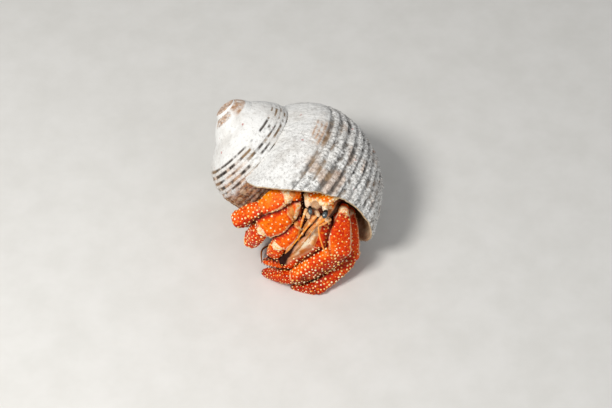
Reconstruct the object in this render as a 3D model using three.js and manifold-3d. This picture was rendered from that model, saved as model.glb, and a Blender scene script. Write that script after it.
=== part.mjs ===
// A strawberry hermit crab (Coenobita perlatus) drawn half into a worn turban shell, at life size.
// Millimetres, +Z up. The crab faces -Y and a little towards -X. The origin is on the floor,
// below the middle of the whole animal.
import * as THREE from "three";
import { mergeVertices } from "three/addons/utils/BufferGeometryUtils.js";
import Module from "manifold-3d";

const wasm = await Module();
wasm.setup();

// ---------------------------------------------------------------- driving dimensions

const GAP = 0.3; // clearance left between neighbouring pieces
const MIDDLE = [-0.15, 0.97, 0]; // the point of the modelling frame that becomes the origin

// The shell is a right-handed spiral. Its section is drawn in the plane through the axis, at the
// size it has where the outer lip crosses that plane, and shrinks by WHORL_RATIO each turn back.
const APEX = [-26, 19.7, 41.8]; // where the spiral starts, just outside the worn tip
const AXIS_HEADING = -32.3; // degrees, the axis runs down from the apex to the base
const AXIS_PITCH = 132.1;
const AXIS_ROLL = -148.9;
const WHORL_RATIO = 2.1;
const SECTION_RADIUS = 14.8; // from the axis to the middle of the section
const SECTION_DROP = 44.1; // from the apex, along the axis, to the middle of the section
const SECTION_HALF_WIDTH = 19.9;
const SECTION_HALF_HEIGHT = 23.7;
const SECTION_TURN = -23; // degrees, the shoulder leans towards the apex
const SECTION_BULGE = 0.04; // three-lobed swelling that squares the shoulder and the base
const BULGE_TURN = -21.5;
const SECTION_START = -96; // degrees round the section, hidden inside the whorl before
const SECTION_END = 144; // degrees, under the base beside the axis
const SHOULDER = [-96, -78, -62, -46, -30, -18.5]; // degrees, the smooth part above the ridges
const FIRST_GROOVE = -14; // degrees round the section
const GROOVE_SPACING = 9;
const LAST_GROOVE = 94;
const GROOVE_DEPTH = 0.4;
const RIDGE_HEIGHT = 0.2;
const UNDERSIDE = [108, 120, 132, 144]; // degrees, worn smooth beside the axis
const RIDGES_START = -425; // degrees before the lip plane, the older whorls are worn smooth
const AXIS_CLEARANCE = 1.2; // the sections stop this far from the axis
const WALL = 1.7;
const COLUMELLA_RADIUS = 4.6; // the pillar that the living space winds round
const COLUMELLA = [[0, 2], [0.4, 4], [4.2, 46], [4.8, 51], [4.4, 54.5], [2.6, 57], [0, 57.6]];
const COLUMELLA_SIDES = 12;
const HOLLOW_SIDES = 20;
const SMOOTH_SIDES = 12;
const SWEEP_STEP = 22.5; // degrees
const SHARED_SWEEP = 2; // degrees by which one sweep runs into the next
const LONGEST_SWEEP = 160; // degrees wound in one piece, so that it can't run into itself
const FIRST_TURN = -1000; // degrees before the lip plane
const LIP_SWEEP_START = -90; // from here the sweep ends along the slanting lip
const LIVING_SPACE_START = -290; // the shell is solid before this angle and hollow after it
const WORN_TIP = 4.2; // length rubbed off at the apex

// Where the outer lip stands round the axis, as an angle that changes along the section.
const LIP_MIDDLE = 6.3;
const LIP_LEAN = 33;
const LIP_CURL = 8.4;
const LIP_OVERRUN = 14; // degrees that the hollow runs past the lip, to open it

// The trunk starts at the mouth, under the shield, and then winds along the living space.
const MOUTH = [6.6, -16.4, 25.4];
const TRUNK_RADIUS = 19; // from the shell's axis, at full size
const TRUNK_DROP = 47;
const TRUNK_TURNS = [-40, -120, -215, -250]; // degrees, where its pieces meet and where it ends
const TRUNK = {
  pieces: ["cephalothorax", "abdomen_front", "abdomen_rear", "tail_fan"],
  across: [0.75, -0.5, -0.2],
  widths: [[7, 12, 12, 11], [11, 12, 11], [11, 9, 6], [5.8, 5.4, 3.6]],
  depths: [[6, 9, 10, 10], [10, 11, 10], [10, 8, 6], [4.4, 3.4, 2.4]],
};

// The two small pairs of legs that hold the shell from inside, with the diameter at both ends.
const HOLDING_LEGS = {
  leg4_right: { points: [[3.6, -2.4, 28], [1.6, -4, 32], [3.4, -7, 35]], size: [2.6, 1.6] },
  leg4_left: { points: [[15, -8, 26], [18, -9, 29], [17.5, -12, 32]], size: [2.6, 1.6] },
  leg5_right: { points: [[5, 3, 28.5], [3.5, 2, 32], [5.5, -1, 34.5]], size: [2, 1.3] },
  leg5_left: { points: [[14, -1, 27.5], [16.5, 0, 30.5], [16, -3, 33]], size: [2, 1.3] },
};

// Limbs. Each lists its joints from the body outwards, the direction across its width, and for
// each piece the widths and the thicknesses at equal steps from one joint to the next.
const LEG_PIECES = ["merus", "carpus", "propodus", "dactyl"];
const CLAW_PIECES = ["merus", "carpus", "palm", "finger"];
const LIMBS = {
  leg3_right: {
    pieces: LEG_PIECES,
    joints: [
      [3, -8, 22],
      [-1.2, -14.1, 32],
      [-11.6, -15.2, 26.2],
      [-20.1, -15.3, 20.6],
      [-16.4, -8, 9],
    ],
    across: [0.5, 0.55, 0.65],
    widths: [[4, 5.6, 5.8], [5.4, 6, 6], [5.9, 6.6, 5.6], [4.8, 3.6, 2.2, 0.9]],
    depths: [[4, 4.6, 4.8], [4.6, 5, 4.8], [4.8, 4.8, 4.6], [3.8, 3, 2, 0.9]],
  },
  leg2_right: {
    pieces: LEG_PIECES,
    joints: [
      [2.7, -7.8, 19.6],
      [-2, -15.8, 26.2],
      [-11.4, -18.4, 21],
      [-15, -16.6, 12.6],
      [-11.8, -9.7, 3.8],
    ],
    across: [0.35, 0.5, 0.75],
    widths: [[4, 6, 7.4], [7, 8.4, 7.8], [7.4, 8, 6], [5, 3.8, 2.6, 0.9]],
    depths: [[4, 5, 5.2], [5, 5.8, 5.2], [5.2, 5.4, 4.8], [4, 3, 2, 0.9]],
  },
  leg2_left: {
    pieces: LEG_PIECES,
    joints: [
      [12.6, -9, 18.5],
      [15.5, -16, 26],
      [14.6, -24, 15.4],
      [-0.2, -27.2, 5.8],
      [-11.2, -21.1, 0.35],
    ],
    across: [0.95, 0.2, 0.1],
    widths: [[4.4, 5.4, 6.4], [6.4, 7.6, 7.4], [7.4, 8.4, 7.6, 5.6], [5.4, 5, 4, 2.4]],
    depths: [[4.4, 5, 5], [5, 5.8, 5.6], [5.6, 5.8, 5.2, 4.4], [4.4, 4.2, 3.4, 2.4]],
  },
  leg3_left: {
    pieces: LEG_PIECES,
    joints: [
      [14, -5.7, 13.5],
      [17, -12.8, 20.6],
      [17.9, -20, 8.2],
      [6.6, -28.4, 1.45],
      [-1.6, -27.4, 0.7],
    ],
    across: [0.95, 0.2, 0.1],
    widths: [[4, 5, 5.2], [5.2, 6, 5.8], [5.8, 6.4, 5.8, 4.8], [4.6, 3.8, 2.8, 1.4]],
    depths: [[4, 4.6, 4.6], [4.6, 5, 4.8], [4.8, 5.4, 5, 4.6], [4.4, 3.4, 2.4, 1.4]],
  },
  cheliped_right: {
    pieces: CLAW_PIECES,
    joints: [
      [2.7, -10.6, 17.3],
      [0.1, -17.4, 21],
      [-5.6, -20.8, 15.6],
      [-7.4, -18.6, 7.6],
      [-6.6, -16.2, 3.4],
    ],
    across: [0.5, 0.5, 0.7],
    widths: [[4, 5, 5.8], [5.8, 7.6, 7.2], [6.8, 7, 5.2], [3.8, 3, 1.2]],
    depths: [[4, 4.6, 4.8], [4.8, 5.4, 5.4], [5.2, 5.6, 4.4], [3.2, 2.6, 1.2]],
  },
  cheliped_left: {
    pieces: CLAW_PIECES,
    joints: [
      [9.2, -10.8, 19],
      [9.4, -18.2, 23.2],
      [7.6, -21.4, 16],
      [-3.6, -22.4, 7.8],
      [-11, -20.6, 6],
    ],
    across: [-0.6, 0.3, 0.75],
    widths: [[4.4, 6, 7.4], [7.4, 8.6, 9.4], [9.6, 11.6, 10.2, 6.2], [5.4, 4.6, 3.4, 1.8]],
    depths: [[4.4, 5, 5.2], [5.2, 6, 6], [6, 6.4, 5.2, 3.8], [3.6, 3.4, 2.8, 1.6]],
  },
};

// Eyes on their flattened stalks, from under the front of the shield.
const EYE_JOINTS = {
  right: [[7, -15.6, 31.2], [4.7, -19.4, 32.1], [4, -20.9, 32.1]],
  left: [[10.6, -17.4, 30.6], [9.3, -20.6, 31.6], [8.8, -22.2, 31.4]],
};
const EYE_SHAPE = {
  pieces: ["eyestalk", "eye"],
  across: [0.8, -0.5, 0.2],
  widths: [[1.7, 1.9, 1.7], [1.8, 1.7]],
  depths: [[2, 2.3, 2.7], [2.9, 2.8]],
  sides: 8,
  rings: 7,
};

// The hard plate behind the eyes, from its front edge back under the shell's lip.
const SHIELD = {
  points: [[4.8, -18.8, 31.9], [8.7, -12.6, 32.5], [12.9, -6.6, 32.3]],
  across: [0.81, -0.55, 0.23],
  widths: [8, 12.4, 13.4, 11],
  depths: [1.8, 3.6, 4.2, 4],
};

// Slender parts of the head, each a smooth curve through its points, with the diameter at both
// ends. A peduncle is the stout jointed root of a feeler, and a flagellum its thin whip.
const FEELERS = {
  antennule_peduncle_right: {
    points: [
      [5.2, -20.8, 29.4],
      [2.8, -23.6, 26.2],
      [-0.2, -25.8, 22.2],
    ],
    size: [1.9, 1.3],
  },
  antennule_flagellum_right: {
    points: [
      [-0.5, -26, 21.8],
      [-2.5, -26.5, 19.4],
      [-4.1, -26.5, 17],
    ],
    size: [1.3, 1],
  },
  antennule_peduncle_left: {
    points: [
      [7.4, -21.6, 28.8],
      [4.9, -24.6, 25.4],
      [2, -26.9, 21.6],
    ],
    size: [1.9, 1.3],
  },
  antennule_flagellum_left: {
    points: [
      [1.7, -27, 21.2],
      [-0.2, -27.5, 18.8],
      [-1.8, -27.5, 16.4],
    ],
    size: [1.3, 1],
  },
  antenna_peduncle_right: {
    points: [
      [3, -18.2, 29.6],
      [1.8, -20.4, 27.2],
      [1, -22, 24.8],
    ],
    size: [2.4, 1.8],
  },
  antenna_peduncle_left: {
    points: [
      [11, -20.6, 28],
      [9, -22.6, 26.2],
      [6.8, -24, 24.8],
    ],
    size: [2.4, 1.8],
  },
  antenna_flagellum_right: {
    points: [
      [0.9, -22.2, 24.4],
      [0.2, -21, 15],
      [-2.6, -15, 7.6],
      [-7.4, -11.3, 3],
      [-11.6, -13, 2.6],
      [-11.8, -18, 1.4],
    ],
    size: [0.9, 0.6],
  },
  antenna_flagellum_left: {
    points: [
      [6.6, -24.2, 24.4],
      [7.8, -26.8, 22],
      [9.4, -28.4, 18.6],
    ],
    size: [0.9, 0.6],
  },
  maxilliped_right: {
    points: [
      [5.4, -18.2, 25.6],
      [3.8, -20.4, 21.8],
      [1.8, -21.4, 18.8],
    ],
    size: [3, 1.8],
  },
  maxilliped_left: {
    points: [
      [7.6, -19, 25],
      [6, -21, 21.4],
      [4.4, -21.8, 18.6],
    ],
    size: [3, 1.8],
  },
};

// ---------------------------------------------------------------- colours

const surface = (color, roughness) => new THREE.MeshStandardMaterial({ color, roughness, metalness: 0 });
const CHALK = surface(0xe9e4da, 0.9);
const ORANGE = surface(0xe2571a, 0.45);
const RED = surface(0xc93a12, 0.45);
const CREAM = surface(0xe8cfa0, 0.5);
const FLESH = surface(0xc98a6a, 0.6);
const CORNEA = surface(0x3a4654, 0.15);

// ---------------------------------------------------------------- geometry helpers

const vector = (p) => new THREE.Vector3(...p);
const radians = THREE.MathUtils.degToRad;
const { clamp, lerp, mapLinear } = THREE.MathUtils;

// A geometry with nothing but positions, its seams closed by merging equal points.
function merged(geometry) {
  geometry.deleteAttribute("normal");
  geometry.deleteAttribute("uv");
  return mergeVertices(geometry, 1e-4);
}

function solidOf(geometry) {
  const closed = merged(geometry);
  return new wasm.Manifold(
    new wasm.Mesh({
      numProp: 3,
      vertProperties: closed.attributes.position.array,
      triVerts: new Uint32Array(closed.index.array),
    }),
  );
}

function geometryOf(solid) {
  const { vertProperties, triVerts } = solid.getMesh();
  const geometry = new THREE.BufferGeometry();
  geometry.setAttribute("position", new THREE.BufferAttribute(vertProperties, 3));
  geometry.setIndex(new THREE.BufferAttribute(triVerts, 1));
  return geometry;
}

// Moves every vertex of a geometry to where place(x, y, z) puts it.
function warp(geometry, place) {
  const position = geometry.attributes.position;
  for (let i = 0; i < position.count; i++)
    position.setXYZ(i, ...place(position.getX(i), position.getY(i), position.getZ(i)));
  return geometry;
}

// Turns every face of an indexed geometry round, after a warp that mirrors it.
function flipped(geometry) {
  const index = geometry.index.array;
  for (let i = 0; i < index.length; i += 3) {
    [index[i], index[i + 1]] = [index[i + 1], index[i]];
  }
  return geometry;
}

const biggestBody = (solid) => solid.decompose().reduce((a, b) => (a.volume() > b.volume() ? a : b));
const overlaps = (a, b) => a.intersect(b).volume() > 0;

// ---------------------------------------------------------------- shell

const shellFrame = new THREE.Matrix4()
  .makeTranslation(...APEX)
  .multiply(new THREE.Matrix4().makeRotationZ(radians(AXIS_HEADING)))
  .multiply(new THREE.Matrix4().makeRotationY(radians(AXIS_PITCH)))
  .multiply(new THREE.Matrix4().makeRotationZ(radians(AXIS_ROLL)));

// A point of the section carried round the axis by a turn in degrees, in the shell's own frame.
function wind(radius, drop, turn) {
  const scale = WHORL_RATIO ** (turn / 360);
  const a = radians(turn);
  return [scale * radius * Math.cos(a), scale * radius * Math.sin(a), scale * drop];
}

// A point of the trunk's middle line, at a turn back from the lip.
function trunkPoint(turn) {
  return vector(wind(TRUNK_RADIUS, TRUNK_DROP, turn)).applyMatrix4(shellFrame).toArray();
}

// The section at full size: distance from the axis and distance down it, for an angle round the
// section in degrees. lift moves the line outwards.
function sectionPoint(angle, lift) {
  const a = radians(angle);
  const lobe = 1 + SECTION_BULGE * Math.cos(3 * (a - radians(BULGE_TURN)));
  const across = (SECTION_HALF_WIDTH + lift) * lobe * Math.cos(a);
  const along = (SECTION_HALF_HEIGHT + lift) * lobe * Math.sin(a);
  const turn = radians(SECTION_TURN);
  return [
    SECTION_RADIUS + across * Math.cos(turn) - along * Math.sin(turn),
    SECTION_DROP + across * Math.sin(turn) + along * Math.cos(turn),
  ];
}

// The angle round the section at which a point lies, in radians.
function sectionAngle(radius, drop) {
  const turn = radians(SECTION_TURN);
  const r = radius - SECTION_RADIUS;
  const d = drop - SECTION_DROP;
  const across = (r * Math.cos(turn) + d * Math.sin(turn)) / SECTION_HALF_WIDTH;
  const along = (d * Math.cos(turn) - r * Math.sin(turn)) / SECTION_HALF_HEIGHT;
  return Math.atan2(along, across);
}

// The turn at which the lip cuts the sweep, for a place on the section.
function lipTurn(radius, drop) {
  const a = sectionAngle(radius, drop);
  return LIP_MIDDLE - LIP_LEAN * Math.sin(a) - LIP_CURL * Math.cos(2 * a);
}

// A line of section points, closed by a straight line beside the axis.
function closedByTheAxis(line) {
  const [firstDrop, lastDrop] = [line.at(0)[1], line.at(-1)[1]];
  const points = [[AXIS_CLEARANCE, firstDrop], ...line, [AXIS_CLEARANCE, lastDrop]];
  return new THREE.Shape(points.map((p) => new THREE.Vector2(...p)));
}

// The outside of the younger whorls, where ridges and grooves take turns below the shoulder.
function ridgedShape(grow) {
  const line = SHOULDER.map((angle) => sectionPoint(angle, grow));
  for (let angle = FIRST_GROOVE; angle <= LAST_GROOVE; angle += GROOVE_SPACING) {
    line.push(sectionPoint(angle, grow - GROOVE_DEPTH));
    line.push(sectionPoint(angle + GROOVE_SPACING / 2, grow + RIDGE_HEIGHT));
  }
  line.push(...UNDERSIDE.map((angle) => sectionPoint(angle, grow)));
  return closedByTheAxis(line);
}

// The outside of the old whorls, worn smooth.
function smoothShape(grow) {
  const line = [];
  for (let i = 0; i <= SMOOTH_SIDES; i++) {
    line.push(sectionPoint(lerp(SECTION_START, SECTION_END, i / SMOOTH_SIDES), grow));
  }
  return closedByTheAxis(line);
}

// The hollow of the whorl, which winds round the columella.
function hollowShape(grow) {
  const points = [];
  for (let i = 0; i < HOLLOW_SIDES; i++) {
    const [radius, drop] = sectionPoint((360 * i) / HOLLOW_SIDES, -WALL - grow);
    points.push(new THREE.Vector2(Math.max(radius, COLUMELLA_RADIUS + grow), drop));
  }
  return new THREE.Shape(points);
}

// Sweeps a section from one turn to another. end(radius, drop) gives the last turn for each place
// on the section, so that a sweep can stop along the slanting lip.
function sweep(shape, from, end) {
  const steps = Math.max(1, Math.round((end(SECTION_RADIUS, SECTION_DROP) - from) / SWEEP_STEP));
  const prism = new THREE.ExtrudeGeometry(shape, { depth: 1, steps, bevelEnabled: false });
  const wound = warp(prism, (radius, drop, t) => wind(radius, drop, lerp(from, end(radius, drop), t)));
  return solidOf(flipped(merged(wound)));
}

// The same over any number of turns, in pieces that don't run into themselves.
function sweeps(shape, from, to) {
  let whole = null;
  for (let start = from; start < to; start += LONGEST_SWEEP) {
    const stop = Math.min(start + LONGEST_SWEEP, to);
    const piece = sweep(shape, start, () => stop);
    whole = whole ? whole.add(piece) : piece;
  }
  return whole;
}

// The same as far as the slanting lip, and overrun degrees past it.
function sweepToLip(shape, from, overrun) {
  const toLip = sweep(shape, LIP_SWEEP_START, (radius, drop) => lipTurn(radius, drop) + overrun);
  return sweeps(shape, from, LIP_SWEEP_START).add(toLip);
}

// The pillar in the middle, from the tip to the base.
function columella() {
  const profile = COLUMELLA.map((p) => new THREE.Vector2(...p));
  return solidOf(new THREE.LatheGeometry(profile, COLUMELLA_SIDES).rotateX(Math.PI / 2));
}

// The whole shell, hollow behind its mouth, worn at the tip and flat where it lies on the floor.
function shellSolid(grow = 0) {
  const ridged = ridgedShape(grow);
  const bodyStart = LIVING_SPACE_START - SHARED_SWEEP;
  const spire = sweeps(smoothShape(grow), FIRST_TURN, RIDGES_START + SHARED_SWEEP);
  const penultimate = sweeps(ridged, RIDGES_START, bodyStart);
  const bodyWhorl = sweepToLip(ridged, bodyStart, 0);
  const hollow = sweepToLip(hollowShape(grow), LIVING_SPACE_START, LIP_OVERRUN);
  const whole = bodyWhorl.subtract(hollow).add(penultimate).add(spire).add(columella());
  const worn = biggestBody(whole.trimByPlane([0, 0, 1], WORN_TIP));
  return biggestBody(solidOf(geometryOf(worn).applyMatrix4(shellFrame)).trimByPlane([0, 0, 1], 0));
}

// ---------------------------------------------------------------- limbs and body

// A solid with an oval section along a smooth curve. It is a ball whose rings are carried to their
// places: full makes its ends blunter, and reach runs it past the first and the last point.
function loft({ points, across, widths, depths, grow = 0, reach = 0, full = 0.24, sides = 8, rings = 7 }) {
  const curve = new THREE.CatmullRomCurve3(points.map(vector));
  const length = curve.getLength();
  const half = (sizes, s) => {
    const place = clamp(s, 0, 1) * (sizes.length - 1);
    const before = Math.min(Math.floor(place), sizes.length - 2);
    return lerp(sizes[before], sizes[before + 1], place - before) / 2 + grow;
  };
  const over = reach + grow;
  const ball = new THREE.SphereGeometry(1, sides, rings);
  return solidOf(
    warp(ball, (x, y, z) => {
      const s = mapLinear(Math.acos(clamp(y, -1, 1)), Math.PI, 0, -over, length + over) / length;
      const inside = clamp(s, 0, 1);
      const forward = curve.getTangentAt(inside);
      const centre = curve.getPointAt(inside).addScaledVector(forward, (s - inside) * length);
      const side = vector(across).addScaledVector(forward, -vector(across).dot(forward)).normalize();
      const up = new THREE.Vector3().crossVectors(side, forward);
      const blunt = Math.hypot(x, z) ** full;
      const turn = Math.atan2(z, x);
      centre.addScaledVector(side, blunt * half(widths, s) * Math.cos(turn));
      centre.addScaledVector(up, blunt * half(depths, s) * Math.sin(turn));
      return centre.toArray();
    }),
  );
}

// A run of pieces with joints between them. Neighbours meet face to face at a plane that halves
// the bend. via can hold more points between two joints.
function chain({ pieces, joints, via = [], widths, depths, across, sides, rings }, grow = 0) {
  const corners = joints.map(vector);
  const lines = pieces.map((_, i) => [joints[i], ...(via[i] ?? []), joints[i + 1]]);
  const leaving = lines.map((line) => vector(line[1]).sub(vector(line[0])).normalize());
  const arriving = lines.map((line) => vector(line.at(-1)).sub(vector(line.at(-2))).normalize());
  const gap = GAP / 2 - grow;
  return pieces.map((_, i) => {
    const reach = 0.45 * Math.min(widths[i][0], depths[i][0]);
    const last = i === pieces.length - 1;
    const piece = { points: lines[i], across, widths: widths[i], depths: depths[i], sides, rings, grow };
    let solid = loft({ ...piece, reach: last ? reach / 4 : reach });
    if (i > 0) {
      const normal = arriving[i - 1].clone().add(leaving[i]).normalize();
      solid = solid.trimByPlane(normal.toArray(), normal.dot(corners[i]) + gap);
    }
    if (!last) {
      const normal = arriving[i].clone().add(leaving[i + 1]).normalize().negate();
      solid = solid.trimByPlane(normal.toArray(), normal.dot(corners[i + 1]) + gap);
    }
    return solid;
  });
}

const placed = []; // every solid so far, with a copy grown by the gap

// Cuts a limb's pieces clear of everything placed before it, stands them on the floor and adds
// them as named meshes in a group of their own.
function place(names, solids, grown, roots, materials) {
  const group = new THREE.Group();
  group.position.copy(vector(roots[0]));
  const obstacles = [...placed];
  solids.forEach((solid, i) => {
    let clear = solid;
    for (const other of obstacles) {
      if (overlaps(clear, other)) clear = clear.subtract(other);
    }
    clear = biggestBody(clear.trimByPlane([0, 0, 1], 0));
    const mesh = new THREE.Mesh(geometryOf(clear), materials[i] ?? materials[0]);
    mesh.geometry.translate(...vector(roots[i]).negate().toArray());
    mesh.position.copy(vector(roots[i])).sub(group.position);
    mesh.name = names[i];
    group.add(mesh);
    placed.push(grown[i]);
  });
  crab.add(group);
}

// Places a chain. name(piece) gives the node name of each of its pieces.
function placeChain(name, spec, materials) {
  place(spec.pieces.map(name), chain(spec), chain(spec, GAP), spec.joints, materials);
}

function placeFeeler(name, { points, size }, material) {
  const rings = points.length * 2 + 1;
  const shape = { points, across: [0.8, -0.5, 0.2], widths: size, depths: size, sides: 6, rings };
  place([name], [loft(shape)], [loft({ ...shape, grow: GAP })], points, [material]);
}

const crab = new THREE.Group();
crab.position.copy(vector(MIDDLE)).negate();
place(["shell"], [shellSolid()], [shellSolid(GAP)], [APEX], [CHALK]);
for (const [side, joints] of Object.entries(EYE_JOINTS))
  placeChain((piece) => `${piece}_${side}`, { ...EYE_SHAPE, joints }, [CREAM, CORNEA]);
place(["shield"], [loft(SHIELD)], [loft({ ...SHIELD, grow: GAP })], [SHIELD.points[0]], [ORANGE]);
for (const [limb, spec] of Object.entries(LIMBS))
  placeChain((piece) => `${limb}_${piece}`, spec, [ORANGE, ORANGE, RED, RED]);
for (const [name, spec] of Object.entries(FEELERS)) placeFeeler(name, spec, CREAM);
const [start, ...stops] = TRUNK_TURNS;
const trunk = {
  ...TRUNK,
  joints: [MOUTH, trunkPoint(start), ...stops.map(trunkPoint)],
  via: [[], [trunkPoint(-80)], [trunkPoint(-170)], []],
};
placeChain((piece) => piece, trunk, [FLESH]);
for (const [name, spec] of Object.entries(HOLDING_LEGS)) placeFeeler(name, spec, FLESH);

export default crab;
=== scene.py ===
import math

import bpy
import numpy as np
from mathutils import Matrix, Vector


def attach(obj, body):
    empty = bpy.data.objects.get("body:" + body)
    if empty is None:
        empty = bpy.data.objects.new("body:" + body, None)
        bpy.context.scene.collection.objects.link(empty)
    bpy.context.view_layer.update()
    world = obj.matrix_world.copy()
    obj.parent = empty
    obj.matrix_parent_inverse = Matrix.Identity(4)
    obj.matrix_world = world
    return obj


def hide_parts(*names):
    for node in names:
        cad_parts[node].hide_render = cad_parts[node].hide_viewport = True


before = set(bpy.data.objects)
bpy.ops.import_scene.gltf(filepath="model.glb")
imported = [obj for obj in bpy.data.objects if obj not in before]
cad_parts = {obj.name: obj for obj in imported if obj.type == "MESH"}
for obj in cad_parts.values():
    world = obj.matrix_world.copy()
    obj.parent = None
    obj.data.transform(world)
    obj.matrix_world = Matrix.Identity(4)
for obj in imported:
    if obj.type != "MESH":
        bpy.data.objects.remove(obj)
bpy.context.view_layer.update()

MIDDLE = np.array([-0.15, 0.97, 0.0])  # the point of the modelling frame above the origin
MILLIMETRE = 0.001

# ---- measures of the shell

# One section is wound round a slanting axis and grows as it goes. Lengths are in millimetres at
# turn 0, where the lip stands. Angles are in degrees: "angle" runs round the section, from its
# smooth shoulder down to the base, and "turn" runs round the axis, from the tip to the lip.
APEX = np.array([-26.0, 19.7, 41.8])
AXIS_HEADING = -32.3
AXIS_PITCH = 132.1
AXIS_ROLL = -148.9
WHORL_RATIO = 2.1
SECTION_RADIUS = 14.8
SECTION_DROP = 44.1
SECTION_HALF_WIDTH = 19.9
SECTION_HALF_HEIGHT = 23.7
SECTION_TURN = -23.0
SECTION_BULGE = 0.04
BULGE_TURN = -21.5
SEAM_CONE = 37.2  # the half angle of the cone on which the seams between the whorls lie
SECTION_START = -96.0
SECTION_END = 144.0
AXIS_CLEARANCE = 1.2
WALL = 1.7
LIP_WALL = 0.8  # the wall thins to this at the lip
COLUMELLA_RADIUS = 4.6
COLUMELLA = [(0.0, 7.0), (0.8, 9.0), (4.2, 46.0), (4.8, 51.0), (4.4, 54.5), (2.6, 57.0), (0.0, 57.6)]
FIRST_TURN = -1180.0
LIP_SWEEP_START = -90.0
LIVING_SPACE_START = -290.0
WORN_TIP = 3.9  # how far down the axis the tip is rubbed off
LIP_MIDDLE = 6.3
LIP_LEAN = 33.0
LIP_CURL = 8.4

OUTER_COLUMNS = 300  # how finely the surfaces of the shell are divided
INNER_COLUMNS = 145
OUTER_STEP = 0.9  # degrees of turn from row to row, up to LIP_SWEEP_START
INNER_STEP = 3.0
OUTER_LIP_ROWS = 210  # rows from there to the lip
INNER_LIP_ROWS = 60

GROOVE_PHASE = -14.0  # the first groove below the smooth shoulder
GROOVE_SPACING = 9.0
SMOOTH_UNTIL = -17.0  # the shoulder has no grooves above this angle
BEAD_SPACING = 2.9  # degrees of turn from one scale of a rib to the next
STRIPE_SPACING = 3.8  # degrees between the fine tan stripes on the back

# ---- measures of the crab

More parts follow.
